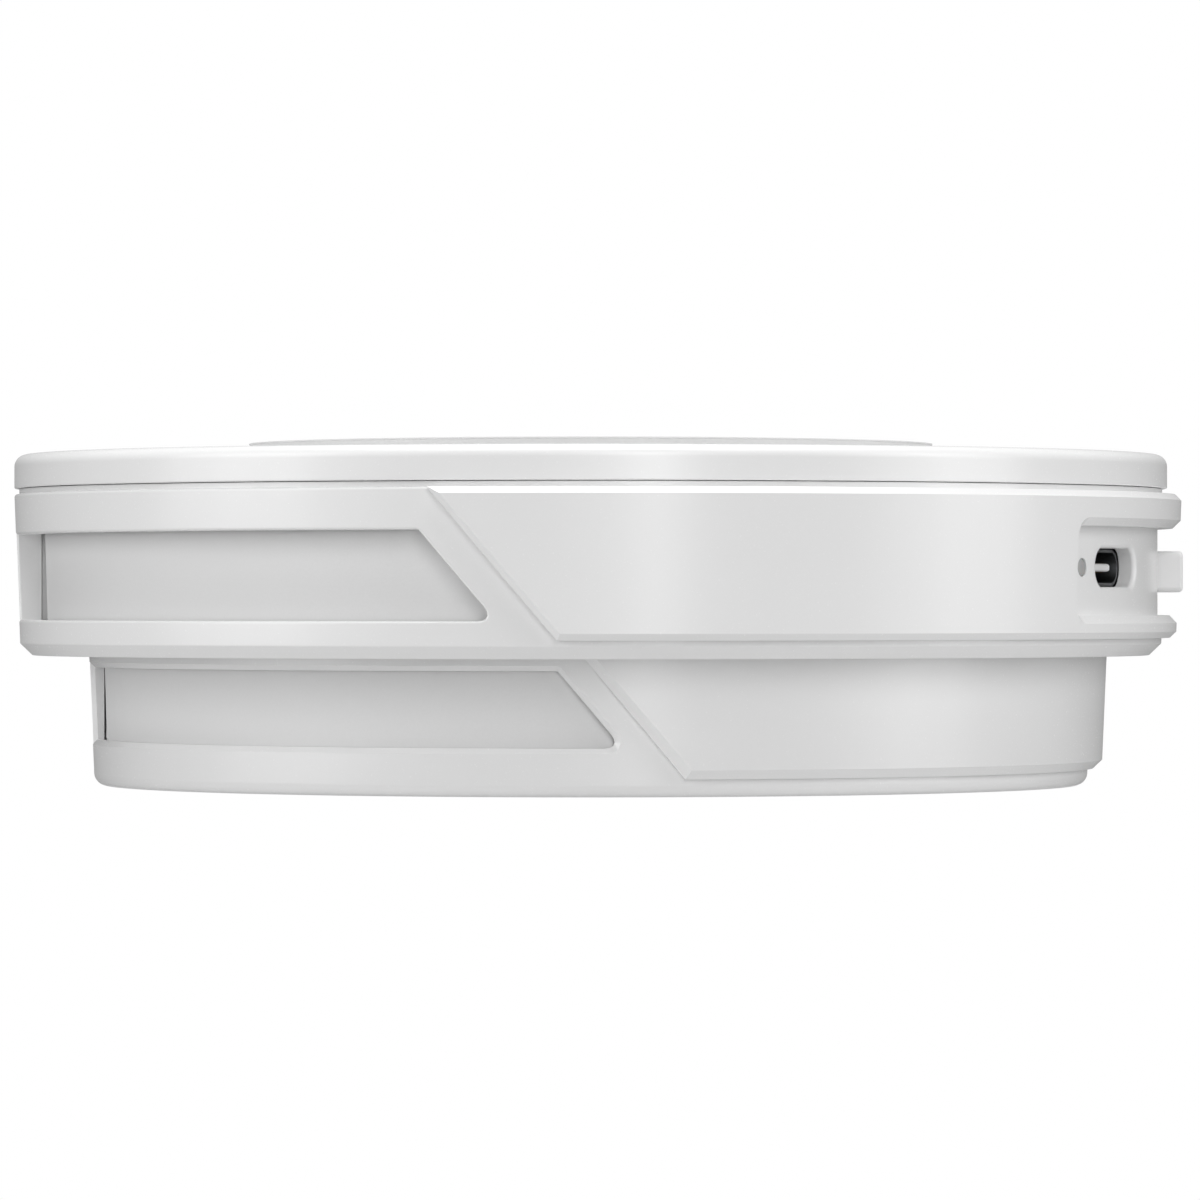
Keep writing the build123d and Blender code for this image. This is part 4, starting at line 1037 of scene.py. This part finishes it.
bm = bmesh.new()
for index in range(port["contacts"]):
    across = (index - (port["contacts"] - 1) / 2) * port["contactPitch"]
    for side in (-1, 1):
        strip = bmesh.ops.create_cube(bm, size=1)["verts"]
        bmesh.ops.scale(bm, verts=strip, vec=(3.2, 0.26, 0.04))
        bmesh.ops.translate(bm, verts=strip, vec=(tip - 2.3, across, side * (height / 2 + 0.01)))
        bmesh.ops.transform(bm, matrix=portFrame, verts=strip)
bevelEdges(bm, list(bm.edges), 0.012, 1)
finishPiece("portContacts", bm, "detector", [], [contactGold])

# Side light: a frosted pin with a low dome
lamp = {"angle": -33.6, "radius": 0.72, "back": 45.5, "face": 49.15}
bm = bmesh.new()
rings = [(lamp["radius"], lamp["back"]), (lamp["radius"], lamp["face"] - 0.14)]
for step in (1, 2, 3, 4):
    turn = radians(21 * step)
    rings.append((lamp["radius"] * cos(turn), lamp["face"] - 0.14 + 0.14 * sin(turn)))
axisRings(bm, [(2 * r, 2 * r, r, reach) for r, reach in rings],
          Matrix.Rotation(radians(lamp["angle"]), 4, "Z") @ Matrix.Translation((0, 0, port["z"])))
finishPiece("sideLightPin", bm, "detector", ["side_light_pipe"], [frostedLens])

# Test button: a shallow dish to press, a flange behind the face and a stem to the switch
button = {"radius": 10.1, "face": -29.57, "dish": 0.25, "flange": 11.6, "flangeLow": -26.87, "flangeHigh": -26.07,
          "inner": 8.7, "roof": -28.27, "stem": 2.5, "stemTop": -18.61}
bm = bmesh.new()
dish = [(r, button["face"] + button["dish"] * (1 - (r / 8.6) ** 2) ** 1.5) for r in (0.5, 2, 3.5, 5, 6.2, 7.2, 8.0, 8.6)]
latheChain(bm, dish + [(button["radius"], button["face"]), (button["radius"], button["flangeLow"]),
                       (button["flange"], button["flangeLow"]), (button["flange"], button["flangeHigh"]),
                       (button["inner"], button["flangeHigh"]), (button["inner"], button["roof"]),
                       (button["stem"], button["roof"]), (button["stem"], button["stemTop"]),
                       (button["stem"] - 0.5, button["stemTop"])], steps=160)
easeCircle(bm, button["radius"], button["face"], 0.3, 5)
easeCircle(bm, button["flange"], button["flangeLow"], 0.1, 2)
easeCircle(bm, button["stem"], button["stemTop"], 0.2, 3)
bmesh.ops.edgeloop_fill(bm, edges=rimAt(bm, dish[0][0], dish[0][1]))
bmesh.ops.edgeloop_fill(bm, edges=rimAt(bm, button["stem"] - 0.5, button["stemTop"]))
finishPiece("testButtonCap", bm, "test_button", ["test_button"], [whiteAbs])

# Light ring round it, with two pins up to the lamps on the board
glow = {"inner": 10.3, "outer": 12.25, "face": -29.47, "shelf": -27.77, "flange": 14.2, "top": -26.97,
        "pins": 13.0, "pinRadius": 1.0, "pinTop": -15.01}
bm = bmesh.new()
latheChain(bm, [(glow["inner"], glow["face"]), (glow["outer"], glow["face"]), (glow["outer"], glow["shelf"]),
                (glow["flange"], glow["shelf"]), (glow["flange"], glow["top"]), (glow["inner"], glow["top"])],
           steps=160, closed=True)
for radius in (glow["inner"], glow["outer"]):
    easeCircle(bm, radius, glow["face"], 0.15, 3)
for side in (-1, 1):
    place = Matrix.Translation((0, side * glow["pins"], 0))
    rings = [flatLoop(bm, 2 * r, 2 * r, r, z, 32, place)
             for r, z in ((glow["pinRadius"], glow["top"] - 0.2), (glow["pinRadius"], glow["pinTop"] - 0.15),
                          (glow["pinRadius"] - 0.15, glow["pinTop"]))]
    bridgeRings(bm, rings)
    for loop in (rings[0], rings[-1]):
        bmesh.ops.edgeloop_fill(bm, edges=loop)
finishPiece("lightRing", bm, "detector", ["light_ring"], [milkyRing])

# Foam seals inside: rings with rounded edges, and the pad under the cell
for name, node, inner in (("sensorSeal", "co_sensor_gasket", 4.6), ("sounderSeal", "sounder_gasket", 3.6)):
    low, high = spanMm(node)
    centre = (low + high) / 2
    outer = (high.x - low.x) / 2
    bm = bmesh.new()
    latheChain(bm, [(inner, low.z), (outer, low.z), (outer, high.z), (inner, high.z)], steps=64, closed=True)
    for radius in (inner, outer):
        for z in (low.z, high.z):
            easeCircle(bm, radius, z, 0.12 * (high.z - low.z), 2)
    bmesh.ops.translate(bm, verts=bm.verts, vec=(centre.x, centre.y, 0))
    finishPiece(name, bm, "detector", [node], [greyFoam])

low, high = spanMm("battery_pad")
bm = bmesh.new()
loops = [flatLoop(bm, high.x - low.x - 2 * shrink, high.y - low.y - 2 * shrink, 1.2, z, 40, Matrix())
         for shrink, z in ((0.08, low.z), (0, low.z + 0.08), (0, high.z - 0.08), (0.08, high.z))]
bridgeRings(bm, loops)
for loop in (loops[0], loops[-1]):
    bmesh.ops.edgeloop_fill(bm, edges=loop)
finishPiece("cellPad", bm, "detector", ["battery_pad"], [greyFoam])

# Finishes on the parts that keep their own shape
finishes = {
    # the rear cover and the vent liners take the darker painted recess shade too
    "rear_cover": recessShadeAbs,
    "upper_vent_liner": recessShadeAbs,
    "lower_vent_liner": recessShadeAbs,
    "case_screws": zincSteel,
    "board_screws": zincSteel,
    "insect_screen": wireMesh,
    "main_board": solderMask,
    "control_module": nickelShield,
    "board_capacitors": canSleeve,
    "boost_inductor": ferrite,
    "co_sensor": sensorSteel,
    "sounder_case": blackPlastic,
    "side_switch": blackPlastic,
    "test_switch": blackPlastic,
    "side_switch_plunger": stemPlastic,
    "test_switch_plunger": stemPlastic,
    "sounder_disc": piezoBrass,
    "battery_cell": pouchFoil,
    "battery_plug": connectorNylon,
    "battery_socket": connectorNylon,
    "battery_lead": leadSheath,
    "side_led": ledEpoxy,
    "status_leds": ledEpoxy,
}
for node, material in finishes.items():
    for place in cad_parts[node].material_slots:
        place.material = material
print("finishes on", len(finishes), "kept parts")

# Pale floor well below the ceiling height
bm = bmesh.new()
bmesh.ops.create_circle(bm, cap_ends=True, segments=96, radius=studio["floorRadius"])
bmesh.ops.translate(bm, verts=bm.verts, vec=(0, 0, -studio["floorDrop"]))
floorMesh = bpy.data.meshes.new("floor")
bm.to_mesh(floorMesh)
bm.free()
floorMesh.materials.append(paleFloor)
floor = bpy.data.objects.new("floor", floorMesh)
scene.collection.objects.link(floor)
floor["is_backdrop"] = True


low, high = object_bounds()
